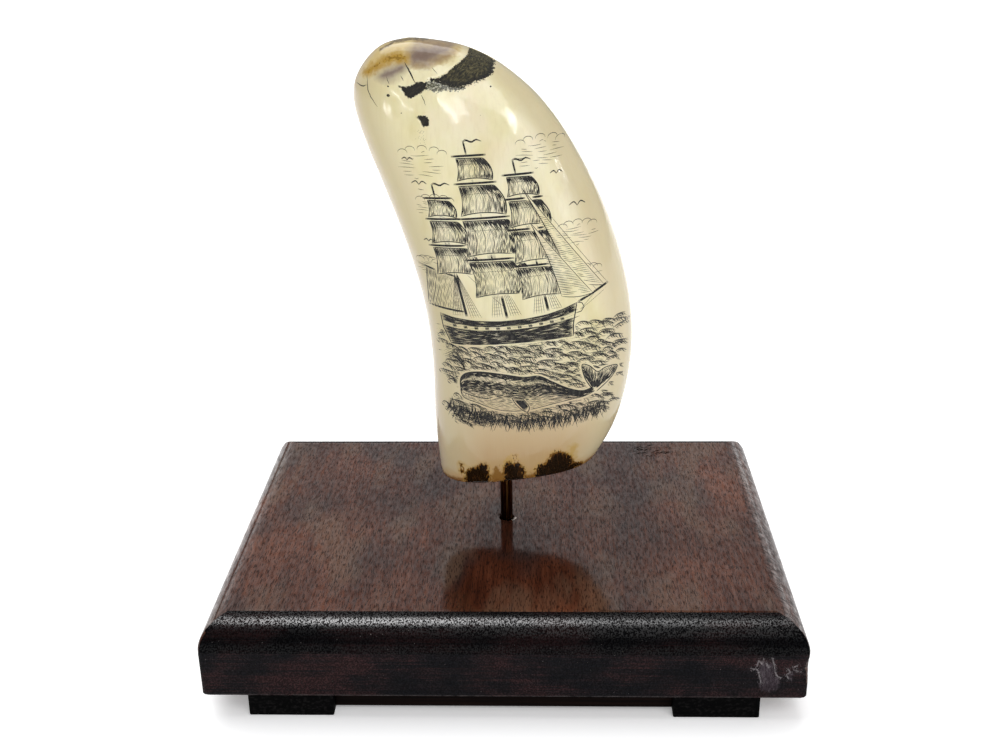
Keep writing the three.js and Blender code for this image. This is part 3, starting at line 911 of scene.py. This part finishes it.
class Drawing:
    def __init__(self, seed):
        self.hand = random.Random(seed)
        self.strokes = []
        self.hidden = []

    def hide(self, outline):
        xs, ys = zip(*outline)
        self.hidden.append((min(xs), max(xs), min(ys), max(ys), outline))

    def shows(self, point):
        for x0, x1, y0, y1, outline in self.hidden:
            if x0 < point[0] < x1 and y0 < point[1] < y1 and inside(point, outline):
                return False
        return True

    def cut(self, points, width, taper=0.3, within=None, step=STROKE_STEP):
        """One stroke. Width is in mm, or is worked out from each point."""
        run = []
        for point in resample(points, step) + [None]:
            size = 0.0
            if point and self.shows(point) and (within is None or inside(point, within)):
                size = width(point) if callable(width) else width
            if size > 0.035:
                run.append((point, size))
            else:
                if len(run) > 1:
                    self.strokes.append(self.tapered(run, taper))
                run = []

    def tapered(self, run, taper):
        last = len(run) - 1
        made = []
        for index, (point, size) in enumerate(run):
            end = min(index, last - index) / last
            made.append((point, size * min(1.0, 0.25 + end / max(taper, 0.01))))
        return made

    def dashes(self, points, width, longest=4.0, shortest=1.6, gap=0.3, sway=0.06, within=None):
        """A line cut as a row of short strokes, each a little off it."""
        line = resample(points, 0.4)
        start = 0
        while start < len(line) - 2:
            count = int(self.hand.uniform(shortest, longest) / 0.4)
            piece = line[start:start + count]
            if len(piece) > 2:
                dx, dy = self.hand.gauss(0, sway), self.hand.gauss(0, sway)
                moved = [(x + dx, y + dy) for x, y in piece]
                self.cut(moved, width, 0.45, within)
            start += count + int(self.hand.uniform(0, 2 * gap) / 0.4)

    def take(self):
        made = self.strokes
        self.strokes = []
        return made


ink = Finish("rubbed_ink", Roughness=0.5, Specular_IOR_Level=0.3)
ink_wear = ink.grain((0.6, 0.6, 0.9), detail=3)
ink.colour_by(ink_wear, [(0.40, (0.006, 0.006, 0.006)), (0.75, (0.05, 0.046, 0.04))])


def engrave(name, strokes, material):
    """Makes strokes into thin closed ridges that lie on the tooth and are much wider than high."""
    curve = bpy.data.curves.new(name, "CURVE")
    curve.dimensions = "3D"
    curve.twist_mode = "Z_UP"
    curve.bevel_depth = 0.5
    curve.bevel_resolution = 0
    curve.use_fill_caps = True
    for stroke in strokes:
        spline = curve.splines.new("POLY")
        spline.points.add(len(stroke) - 1)
        spline.points.foreach_set("co", [c for (x, h), _ in stroke for c in (x, h, 0.0, 1.0)])
        spline.points.foreach_set("radius", [size for _, size in stroke])
    pen = bpy.data.objects.new(name + "_pen", curve)
    scene.collection.objects.link(pen)
    flat = bpy.data.meshes.new_from_object(pen.evaluated_get(bpy.context.evaluated_depsgraph_get()))
    bpy.data.objects.remove(pen)
    ridge = bmesh.new()
    ridge.from_mesh(flat)
    bpy.data.meshes.remove(flat)
    for corner in ridge.verts:
        place, normal = on_tooth(corner.co.x, corner.co.y)
        if place is None:
            near = Vector((corner.co.x * MM, -0.005, corner.co.y * MM + BOARD_TOP))
            place, normal, _, _ = surface.find_nearest(near)
        corner.co = place + normal * (corner.co.z * INK_RELIEF + INK_LIFT) * MM
    return finished(name, ridge, material, None, smooth=False)


# The ship's own grid: U forwards along the waterline and V up the masts, which lean with the tooth.
SHIP_AT = (3.6, 56.0)
SHIP_TRIM = math.radians(6)
SHIP_LEAN = math.radians(13)


def ship(u, v):
    return (
        SHIP_AT[0] + u * math.cos(SHIP_TRIM) - v * math.sin(SHIP_LEAN),
        SHIP_AT[1] + u * math.sin(SHIP_TRIM) + v * math.cos(SHIP_LEAN),
    )


def grown(outline, by):
    """The outline moved outwards, so that what is drawn round a form keeps clear of it."""
    turn = sum(a[0] * b[1] - b[0] * a[1] for a, b in zip(outline, outline[1:] + outline[:1]))
    out = by if turn > 0 else -by
    made = []
    for before, here, after in zip(outline[-1:] + outline[:-1], outline, outline[1:] + outline[:1]):
        dx, dy = after[0] - before[0], after[1] - before[1]
        length = math.hypot(dx, dy) or 1.0
        made.append((here[0] + dy / length * out, here[1] - dx / length * out))
    return made


def lerp(a, b, share):
    return (a[0] + (b[0] - a[0]) * share, a[1] + (b[1] - a[1]) * share)


picture = Drawing(7)
hand = picture.hand


def cut_on_ship(points, *how):
    picture.cut([ship(*point) for point in points], *how)


def square_sail(middle, top, foot, top_half, foot_half, belly, roach):
    """A set sail between two yards, filled with lines that swell where it turns from the light."""
    def at(s, t):
        half = top_half + (foot_half - top_half) * t
        blown = belly * math.sin(math.pi * min(1.0, t * 0.9 + 0.05))
        u = middle + (2 * s - 1) * half + blown * (0.55 + 0.45 * s)
        v = top + (foot - top) * t + roach * (1 - (2 * s - 1) ** 2) * t - 0.5 * (s - 0.5)
        return ship(u, v)

    steps = [i / 12 for i in range(13)]
    edge = [at(s, 0) for s in steps] + [at(1, t) for t in steps]
    edge += [at(s, 1) for s in reversed(steps)] + [at(0, t) for t in reversed(steps)]
    count = max(8, int((top_half + foot_half) / 0.30))
    for line in range(count + 1):
        s = line / count
        away = abs(s - 0.36)
        for offset in (0.0, 0.5 / count):
            dark = 0.16 + 1.35 * away - (0.36 if offset else 0.0) + hand.uniform(-0.06, 0.06)
            curve = [at(min(1, s + offset), t) for t in steps]

            def swell(point, dark=dark, top_point=curve[0], length=math.dist(curve[0], curve[-1])):
                down = math.dist(point, top_point) / length
                head = max(0.0, 0.34 - down) * 1.6
                foot_dark = max(0.0, down - 0.80) * 1.5
                return 0.03 + 0.21 * max(0.0, min(1.0, dark + head + foot_dark))

            picture.dashes(curve, swell, 4.2, 1.8, 0.35, 0.03)
    for s in (0.17, 0.34, 0.5, 0.66, 0.83):
        picture.cut([at(s, t) for t in steps], 0.09)
    for i in range(int((top_half + foot_half) / 0.9)):
        s = (i + 0.5) / int((top_half + foot_half) / 0.9)
        picture.cut([at(s, 0.27), at(s + 0.01, 0.36)], 0.12)
    picture.cut([at(s, 0.30) for s in steps], 0.07)
    picture.cut([at(0, t) for t in steps], 0.17, 0.1)
    picture.cut([at(1, t) for t in steps], 0.24, 0.1)
    picture.cut([at(s, 1) for s in steps], 0.22, 0.1)
    picture.cut([at(s, 0) for s in steps], 0.20, 0.1)
    picture.hide(edge)
    yard = [ship(middle - top_half - 0.9, top + 0.65), ship(middle + top_half + 0.9, top + 0.25)]
    for lift in (0.0, 0.14, 0.28):
        picture.cut([(x, y + lift) for x, y in yard], 0.20, 0.2)


def spar(a, b, width, lines=3):
    """A mast or boom: a few long strokes side by side."""
    (x0, y0), (x1, y1) = ship(*a), ship(*b)
    length = math.dist((x0, y0), (x1, y1))
    nx, ny = -(y1 - y0) / length, (x1 - x0) / length
    for line in range(lines):
        off = (line - (lines - 1) / 2) * width / lines
        moved = [(x + nx * off, y + ny * off) for x, y in ((x0, y0), (x1, y1))]
        picture.cut(moved, width / lines * 1.05, 0.1)


def rope(a, b, width=0.085, sag=0.0):
    middle = ((a[0] + b[0]) / 2, (a[1] + b[1]) / 2 - sag)
    points = [ship(*lerp(lerp(a, middle, t), lerp(middle, b, t), t)) for t in [i / 8 for i in range(9)]]
    picture.cut(points, width, 0.1)


def jib(head, tack, clew, tone=0.5):
    """A three-cornered sail on a stay, hatched from its leech to its luff."""
    steps = [i / 8 for i in range(9)]
    leech = [lerp(head, clew, t) for t in steps]
    leech = [(u + 0.6 * math.sin(math.pi * t), v) for (u, v), t in zip(leech, steps)]
    foot = [lerp(clew, tack, t) for t in steps]
    foot = [(u, v - 0.45 * math.sin(math.pi * t)) for (u, v), t in zip(foot, steps)]
    outline = [ship(*p) for p in leech + foot]
    for i in range(1, 44):
        t = i / 44
        a, b = lerp(head, tack, t), lerp(head, clew, t)
        cut_on_ship([lerp(a, b, 0.04), lerp(a, b, 0.3 + 0.4 * hand.random())], 0.05 + 0.12 * tone, 0.6)
        cut_on_ship([lerp(b, a, 0.02), lerp(b, a, 0.35 + 0.25 * hand.random())], 0.08 + 0.14 * tone, 0.7)
    cut_on_ship(leech, 0.18, 0.1)
    cut_on_ship(foot, 0.16, 0.1)
    cut_on_ship([head, tack], 0.14, 0.1)
    picture.hide(outline)


# Headsails and bowsprit, then the sails of the fore, main and mizzen masts.
jib((9.2, 27.5), (19.6, 8.4), (12.4, 9.0), 0.7)
jib((9.2, 35.5), (22.6, 9.5), (15.4, 12.6), 0.5)
MASTS = {
    "fore": (8.6, 42.0, 0.92),
    "main": (-1.2, 47.5, 1.03),
    "mizzen": (-10.6, 38.5, 0.84),
}
# A row of sails: its foot, its top, half its width at the top and the foot, its belly and its roach.
SAILS = [
    (9.0, 16.5, 5.9, 6.3, 1.5, 0.9),
    (17.6, 25.0, 4.9, 6.0, 1.4, 0.8),
    (26.0, 32.0, 3.8, 4.9, 1.2, 0.7),
    (33.0, 37.4, 2.9, 3.8, 0.9, 0.6),
]
for name, (foot_at, top_at, size) in MASTS.items():
    rows = SAILS[1:] if name == "mizzen" else SAILS
    tall = (top_at - 4.0) / 37.4
    for foot_v, top_v, *widths, roach in rows:
        square_sail(foot_at + 0.4, top_v * tall, foot_v * tall, *[w * size for w in widths], roach)

# The hull, with its light band of gun ports, its rails and the ends of its decks.
SHEER = [(-17.0, 6.6), (-14.0, 5.7), (-9.0, 4.9), (-3.0, 4.5), (3.0, 4.6), (8.0, 5.1), (12.0, 5.9),
         (15.5, 7.0)]


def sheer(u):
    for (u0, v0), (u1, v1) in zip(SHEER, SHEER[1:]):
        if u <= u1:
            return v0 + (v1 - v0) * (u - u0) / (u1 - u0)
    return SHEER[-1][1]


def plank(share, u):
    """Height of a plank line, from 0 at the waterline to 1 at the rail."""
    return -1.2 + (sheer(u) + 1.2) * share


hull_ends = [(-16.2, -1.2), (-17.2, 3.0), (-17.0, 6.6)]
bow_curve = [(15.5, 7.0), (14.6, 4.6), (13.6, 2.0), (12.9, -1.2)]
hull = hull_ends + SHEER[1:-1] + bow_curve
hull_outline = [ship(*p) for p in hull]
for line in range(30):
    share = (line + 0.5) / 30
    light = 0.60 < share < 0.78
    curve = [ship(u, plank(share, u)) for u in [-17.2 + i * 1.0 for i in range(34)]]
    width = 0.055 if light else 0.25
    if light and line % 2:
        continue
    picture.dashes(curve, width, 7.0, 4.0, 0.0, 0.02, hull_outline)
    if not light:
        picture.dashes(curve, 0.2, 5.0, 3.0, 0.1, 0.04, hull_outline)
for port in range(11):
    u = -14.5 + port * 2.55
    for line in range(4):
        at_u = u + 0.22 * line
        cut_on_ship([(at_u, plank(0.625, u)), (at_u, plank(0.75, u))], 0.24, 0.05, hull_outline, 0.4)
for share, width in ((0.58, 0.16), (0.79, 0.16), (0.99, 0.26), (0.90, 0.14)):
    cut_on_ship([(u, plank(share, u)) for u in [-17.0 + i * 0.9 for i in range(37)]], width, 0.05)
cut_on_ship(bow_curve, 0.26, 0.05)
cut_on_ship(hull_ends, 0.24, 0.05)
cut_on_ship([(15.5, 7.0), (16.6, 6.6), (16.9, 5.6), (16.0, 4.6), (14.6, 4.4)], 0.2, 0.1)
picture.hide(grown(hull_outline, 0.3))
spar((13.5, 6.2), (23.6, 9.9), 0.55)
for tip_u in (20.4, 22.8):
    rope((tip_u, 8.7), (15.8, 5.0), 0.07)

# Masts, shrouds with their ratlines, stays, spanker and pennants.
for name, (foot_at, top_at, size) in MASTS.items():
    spar((foot_at, 5.2), (foot_at, 18.0), 0.62)
    spar((foot_at, 17.0), (foot_at, top_at), 0.40, 2)
    for side_sign in (-1, 1):
        rope_feet = [(foot_at + side_sign * (1.0 + 0.62 * i), 5.6) for i in range(5)]
        rope_head = (foot_at + side_sign * 0.2, 17.0)
        for rope_foot in rope_feet:
            rope(rope_foot, rope_head)
        for rung in range(1, 13):
            t = rung / 14
            cut_on_ship([lerp(rope_feet[0], rope_head, t), lerp(rope_feet[-1], rope_head, t)], 0.06, 0.1)
        for i in range(3):
            rope((foot_at + side_sign * (0.5 + 0.3 * i), 17.4), (foot_at + side_sign * 0.12, 29.0), 0.07)
    pennant = [(foot_at, top_at)]
    pennant += [(foot_at + 0.5 * i, top_at + 0.25 * math.sin(i * 1.3) - 0.04 * i) for i in range(1, 9)]
    for lift in (0.0, -0.16, -0.32):
        fly = [(u, v + lift * (1 - i / 12)) for i, (u, v) in enumerate(pennant)]
        cut_on_ship(fly, 0.17, 0.3)
rope((8.6, 39.0), (23.4, 9.9))
rope((8.6, 30.0), (20.6, 8.9))
rope((8.6, 18.0), (15.6, 7.4))
STAYS = (
    ((-1.2, 38.0), (8.6, 22.0)), ((-1.2, 30.0), (8.6, 12.0)),
    ((-10.6, 29.0), (-1.2, 17.0)), ((-10.6, 20.0), (-1.2, 8.0)),
)
for a, b in STAYS:
    rope(a, b, 0.08, 0.3)
spanker = [(-10.8, 16.0), (-17.4, 18.2), (-19.4, 8.6), (-10.8, 7.4)]
for i in range(22):
    t = i / 21
    cloth = [ship(*lerp(spanker[0], spanker[1], t)), ship(*lerp(spanker[3], spanker[2], t))]
    picture.dashes(cloth, 0.07 + 0.14 * t, 4.0, 1.8, 0.3, 0.03)
for a, b in zip(spanker, spanker[1:] + spanker[:1]):
    cut_on_ship([a, b], 0.18, 0.1)
spar((-10.8, 16.2), (-18.2, 18.7), 0.34, 2)
spar((-10.8, 7.2), (-20.0, 8.4), 0.34, 2)
picture.hide([ship(*p) for p in spanker])
engrave("engraved_ship", picture.take(), ink.material)

# The whale, cut under the ship: dark along its back and pale underneath, spouting, with its flukes
# raised.
BACK = [(-10.4, 42.2), (-10.2, 44.6), (-8.6, 46.2), (-5.0, 46.9), (0.0, 46.6), (5.0, 46.0),
        (8.5, 46.3), (11.5, 44.9), (15.5, 42.9), (19.0, 41.9), (21.6, 42.6)]
BELLY = [(-10.4, 41.6), (-9.6, 39.6), (-6.4, 38.7), (-2.0, 37.4), (2.0, 37.0), (6.0, 37.4),
         (10.0, 38.4), (13.5, 39.3), (16.5, 39.9), (19.5, 40.4), (22.0, 41.4)]
FLUKES = [(21.4, 42.0), (19.6, 45.0), (18.8, 48.6), (20.6, 48.2), (22.6, 46.4), (24.6, 47.2), (27.4, 46.9),
          (26.0, 44.2), (22.4, 41.2)]


def rounded_line(points, count=6):
    """A smooth line through points."""
    made = []
    ends = [points[0]] + list(points) + [points[-1]]
    for p0, p1, p2, p3 in zip(ends, ends[1:], ends[2:], ends[3:]):
        for i in range(count):
            t = i / count
            made.append(tuple(
                0.5 * (2 * b + (c - a) * t + (2 * a - 5 * b + 4 * c - d) * t * t
                       + (3 * b - a - 3 * c + d) * t ** 3)
                for a, b, c, d in zip(p0, p1, p2, p3)
            ))
    return made + [tuple(points[-1])]


def oval(x, h, wide, tall, turns):
    return [(x + wide * math.cos(turn), h + tall * math.sin(turn)) for turn in turns]


back, belly_line = rounded_line(BACK), rounded_line(BELLY)
fin = rounded_line([(2.0, 40.6), (3.4, 38.4), (5.6, 36.8), (6.2, 38.2), (4.8, 40.2)])
whale_outline = back + belly_line[::-1]
jaw = rounded_line([(-9.9, 40.9), (-7.0, 40.4), (-4.2, 40.1), (-2.4, 40.6)])
EYE_X = -1.2
EYE_H = 41.9
for clear in (
    [(x, y + 0.22) for x, y in jaw] + [(x, y - 0.38) for x, y in jaw[::-1]],
    oval(EYE_X, EYE_H, 0.75, 0.5, [i * 0.7 for i in range(9)]),
    fin,
):
    picture.hide(clear)
fluke_outline = rounded_line(FLUKES)
LINES_ON_WHALE = 40
for line in range(LINES_ON_WHALE):
    q = (line + 0.5) / LINES_ON_WHALE
    curve = [lerp(a, b, q) for a, b in zip(back, belly_line)]
    glint = math.exp(-((q - 0.20) / 0.07) ** 2)
    dark = 1.05 - 1.0 * q - 0.75 * glint
    for repeat in range(3 if dark > 0.65 else 2 if dark > 0.4 else 1):
        shifted = [(x, y + 0.12 * repeat) for x, y in curve]
        width = 0.05 + 0.24 * max(0.0, dark) * (1 - 0.2 * repeat)
        picture.dashes(shifted, width, 3.6, 1.6, 0.15, 0.04, whale_outline)
for i in range(150):
    at = hand.randrange(8, len(back) - 8)
    q = hand.uniform(0.05, 0.5)
    x, y = lerp(back[at], belly_line[at], q)
    picture.cut([(x, y), (x + 0.5, y - 0.5), (x + 0.8, y - 1.1)], 0.10, 0.5, whale_outline, 0.4)
picture.cut(back, 0.24, 0.03)
picture.cut(belly_line, 0.16, 0.03)
details = Drawing(11)
details.cut(jaw, 0.20, 0.1, None, 0.4)
details.cut([(x, y - 0.2) for x, y in jaw[3:-3]], 0.10, 0.3, None, 0.4)
for tooth_at in range(10):
    x, y = lerp(jaw[2], jaw[-4], tooth_at / 9)
    details.cut([(x, y), (x + 0.08, y - 0.6)], 0.12, 0.5, None, 0.2)
details.cut(oval(EYE_X, EYE_H, 0.50, 0.32, [i * 0.7 for i in range(10)]), 0.13, 0.05, None, 0.3)
details.cut([(EYE_X - 0.12, EYE_H), (EYE_X + 0.14, EYE_H)], 0.30, 0.05, None, 0.1)
brow = [(EYE_X - 0.8, EYE_H + 0.62), (EYE_X, EYE_H + 0.8), (EYE_X + 0.9, EYE_H + 0.5)]
details.cut(brow, 0.12, 0.3, None, 0.3)
details.cut(fin + fin[:1], 0.22, 0.05, None, 0.4)
for i in range(12):
    t = (i + 0.5) / 12
    hatch = [lerp((2.2, 40.4), (4.8, 40.0), t), lerp((5.2, 37.0), (6.0, 38.2), t)]
    details.cut(hatch, 0.15 + 0.1 * t, 0.4, fin, 0.4)
fluke_root = (21.8, 41.8)
for i in range(90):
    t = i / 89
    tip = fluke_outline[int(8 + t * (len(fluke_outline) - 16))]
    vein = [lerp(fluke_root, tip, 0.12), lerp(fluke_root, tip, 0.97)]
    picture.dashes(vein, 0.16, 3.2, 1.4, 0.1, 0.04, fluke_outline)
picture.cut(fluke_outline, 0.24, 0.03)
picture.hide(grown(whale_outline, 0.45))
picture.hide(grown(fluke_outline, 0.45))
picture.hide(fin)
for i in range(26):
    reach = hand.uniform(2.4, 5.6)
    lean = hand.uniform(-1.0, 0.35)
    jet = [
        (-9.0, 46.3),
        (-9.6 + lean * 0.5, 46.3 + reach * 0.6),
        (-10.6 + lean * 2.0, 46.3 + reach),
        (-12.0 + lean * 2.6, 46.0 + reach * 0.85),
    ]
    picture.cut(rounded_line(jet, 4), 0.10, 0.6)
engrave("engraved_whale", picture.take() + details.take(), ink.material)

# The sea: rows of curling crests with short strokes hanging from them, darker in the hollows, and
# spray that breaks up the lower edge.
def sea_edge(h):
    """How far the sea reaches to the left and right at a height."""
    to_left = -14.6 - 0.10 * (h - 44) - 1.6 * math.sin(h * 0.7)
    return to_left, 25.5 + 0.12 * (h - 44) + 1.4 * math.sin(h * 0.9 + 1)


def sea_rise(x):
    """The sea lies a little aslant, higher to the right."""
    return 0.10 * (x - 5) * 0.9


for row in range(19):
    base = 57.5 - row * 1.28
    drift = hand.uniform(0, 6)
    left_end, right_end = sea_edge(base)
    x = left_end + hand.uniform(0, 2)
    while x < right_end:
        length = hand.uniform(2.6, 5.2)
        lift = hand.uniform(0.5, 0.95)
        crest = []
        for t in [i / 8 for i in range(9)]:
            h = base + sea_rise(x) + lift * math.sin(math.pi * t ** 0.7)
            crest.append((x + length * t, h + 0.35 * math.sin((x + length * t) * 0.5 + drift)))
        picture.cut(crest, 0.22, 0.4)
        picture.cut([(px, py - 0.20) for px, py in crest[1:]], 0.13, 0.5)
        for i in range(int(length / 0.30)):
            t = (i + hand.random()) * 0.30 / length
            at = crest[min(8, int(t * 8))]
            drop = hand.uniform(0.35, 1.15) * (0.5 + t)
            start = (at[0] + hand.uniform(-0.15, 0.15), at[1] - 0.12)
            fall = [start, (start[0] + 0.32, start[1] - drop * 0.6), (start[0] + 0.75, start[1] - drop)]
            picture.cut(fall, 0.15, 0.6)
        x += length * hand.uniform(0.72, 0.98)
for i in range(1500):
    h = hand.uniform(33.5, 57.0)
    left_end, right_end = sea_edge(h)
    x = hand.uniform(left_end + 0.6, right_end - 2.4)
    lift = sea_rise(x)
    length = hand.uniform(0.8, 2.4)
    ripple = [(x, h + lift), (x + length / 2, h + lift + 0.12), (x + length, h + lift)]
    picture.cut(ripple, hand.uniform(0.07, 0.12), 0.6)
for i in range(420):
    x = hand.uniform(-13.5, 24.5)
    swing = math.sin((x + 14) / 38 * math.pi)
    h = 36.2 - 2.6 * swing + hand.uniform(-0.8, 1.6)
    reach = hand.uniform(1.6, 3.9)
    lean = hand.choice((-1, 1)) * hand.uniform(0.3, 1.3)
    spray = [(x, h + reach * 0.5), (x + lean * 0.35, h), (x + lean, h - reach * 0.55)]
    picture.cut(rounded_line(spray, 3), hand.uniform(0.12, 0.26), 0.7)
engrave("engraved_sea", picture.take(), ink.material)

# The sky round the masts: long thin cloud lines and gulls, and low on the left a short row of tick
# marks.
CLOUDS = (
    (-17.5, 96.5, 6.0, 3.0), (-15.0, 86.5, 4.5, 2.2), (9.0, 98.5, 6.0, 2.8), (17.5, 80.0, 4.6, 2.2),
    (-17.2, 72.0, 2.6, 1.6), (19.5, 70.5, 3.6, 1.6),
)
for middle_x, middle_h, half_wide, half_tall in CLOUDS:
    for row in range(9):
        t = row / 4 - 1
        reach = half_wide * math.sqrt(max(0.02, 1 - t * t)) * hand.uniform(0.75, 1.0)
        h = middle_h + half_tall * t
        shift = hand.uniform(-0.9, 0.9) + 0.5 * t
        line = []
        for q in [j / 6 - 1 for j in range(13)]:
            line.append((middle_x + shift + reach * q, h + 0.16 * math.sin(3 * q + row) - 0.05 * q))
        if on_tooth(*line[0])[0] is not None and on_tooth(*line[-1])[0] is not None:
            picture.dashes(line, 0.10, 5.0, 2.0, 1.6, 0.03)
    for puff in range(5):
        turn = math.radians(20 + 35 * puff)
        x = middle_x + half_wide * 0.8 * math.cos(turn)
        h = middle_h + half_tall * (0.75 + 0.5 * math.sin(turn))
        picture.cut(oval(x, h, 1.1, 0.8, [math.radians(-10 + 25 * j) for j in range(9)]), 0.12, 0.4)
GULLS = ((-18.5, 92.0, 1.5), (-21.0, 97.5, 1.1), (12.6, 94.0, 1.2), (17.4, 86.5, 1.6), (-16.8, 78.5, 1.0))
for x, h, span in GULLS:
    for wing in (-1, 1):
        for lift in (0.0, 0.12):
            feathers = [
                (x, h + lift),
                (x + wing * span * 0.5, h + 0.55 * span + lift),
                (x + wing * span * 1.2, h + 0.15 * span + lift),
            ]
            picture.cut(rounded_line(feathers, 4), 0.15, 0.4)
for i, rise in enumerate((1.0, 0.7, 1.2, 0.8, 0.9, 0.6, 1.1)):
    x, h = -15.4 - 0.02 * i, 50.2 + 1.15 * i
    picture.cut([(x - rise * 0.6, h), (x + rise * 0.6, h + 0.35)], 0.16, 0.4)
engrave("engraved_sky", picture.take(), ink.material)

# The tooth's age cracks, most of them in the tip, and a few small pits. All of them are dark with
# dirt.
dirt = Finish("crack_dirt", Roughness=0.7)
dirt_tone = dirt.grain((0.8, 0.8, 0.8), detail=2)
dirt.colour_by(dirt_tone, [(0.4, (0.008, 0.006, 0.004)), (0.7, (0.05, 0.035, 0.02))])
CRACKS = [
    ([(-21.0, 118.5), (-20.0, 116.8), (-18.5, 114.3)], 0.34),
    ([(-32.5, 113.7), (-31.4, 113.3), (-30.6, 113.3), (-29.7, 113.5)], 0.24),
    ([(-29.8, 115.7), (-29.7, 114.5), (-29.5, 112.6), (-29.0, 111.2), (-27.4, 109.0)], 0.17),
    ([(-25.3, 115.7), (-24.9, 114.8), (-24.5, 114.0)], 0.13),
    ([(-21.9, 115.9), (-21.5, 115.2), (-21.2, 114.8)], 0.16),
    ([(-17.5, 112.2), (-16.9, 111.1), (-16.4, 109.7)], 0.15),
    ([(-14.9, 117.6), (-13.7, 116.2)], 0.11),
    ([(-18.8, 91.0), (-18.1, 90.9), (-17.4, 90.9)], 0.14),
    ([(23.5, 38.3), (23.8, 38.3)], 0.22),
    ([(-4.3, 107.5), (-4.1, 107.5)], 0.22),
]
SPECKS = [(-24.8, 113.6, 0.22), (-24.8, 111.7, 0.38), (-21.9, 108.0, 0.14), (-2.0, 113.3, 0.2),
          (23.7, 38.3, 0.16)]
cracks = Drawing(3)
for x, h, radius in SPECKS:
    cracks.cut([(x - radius, h), (x + radius, h - radius * 0.3)], 1.6 * radius, 0.35, None, radius / 3)
for points, width in CRACKS:
    shake = cracks.hand.gauss
    wander = [(x + shake(0, 0.04), y + shake(0, 0.04)) for x, y in resample(points, 0.5)]
    cracks.cut(wander, width, 0.5, None, 0.3)
for i in range(26):
    x, h = cracks.hand.gauss(-17.4, 1.0), cracks.hand.gauss(103.2, 1.0)
    cracks.cut([(x, h), (x + 0.1, h - 0.12)], 0.09, 0.5, None, 0.1)
engrave("hairline_cracks", cracks.take(), dirt.material)
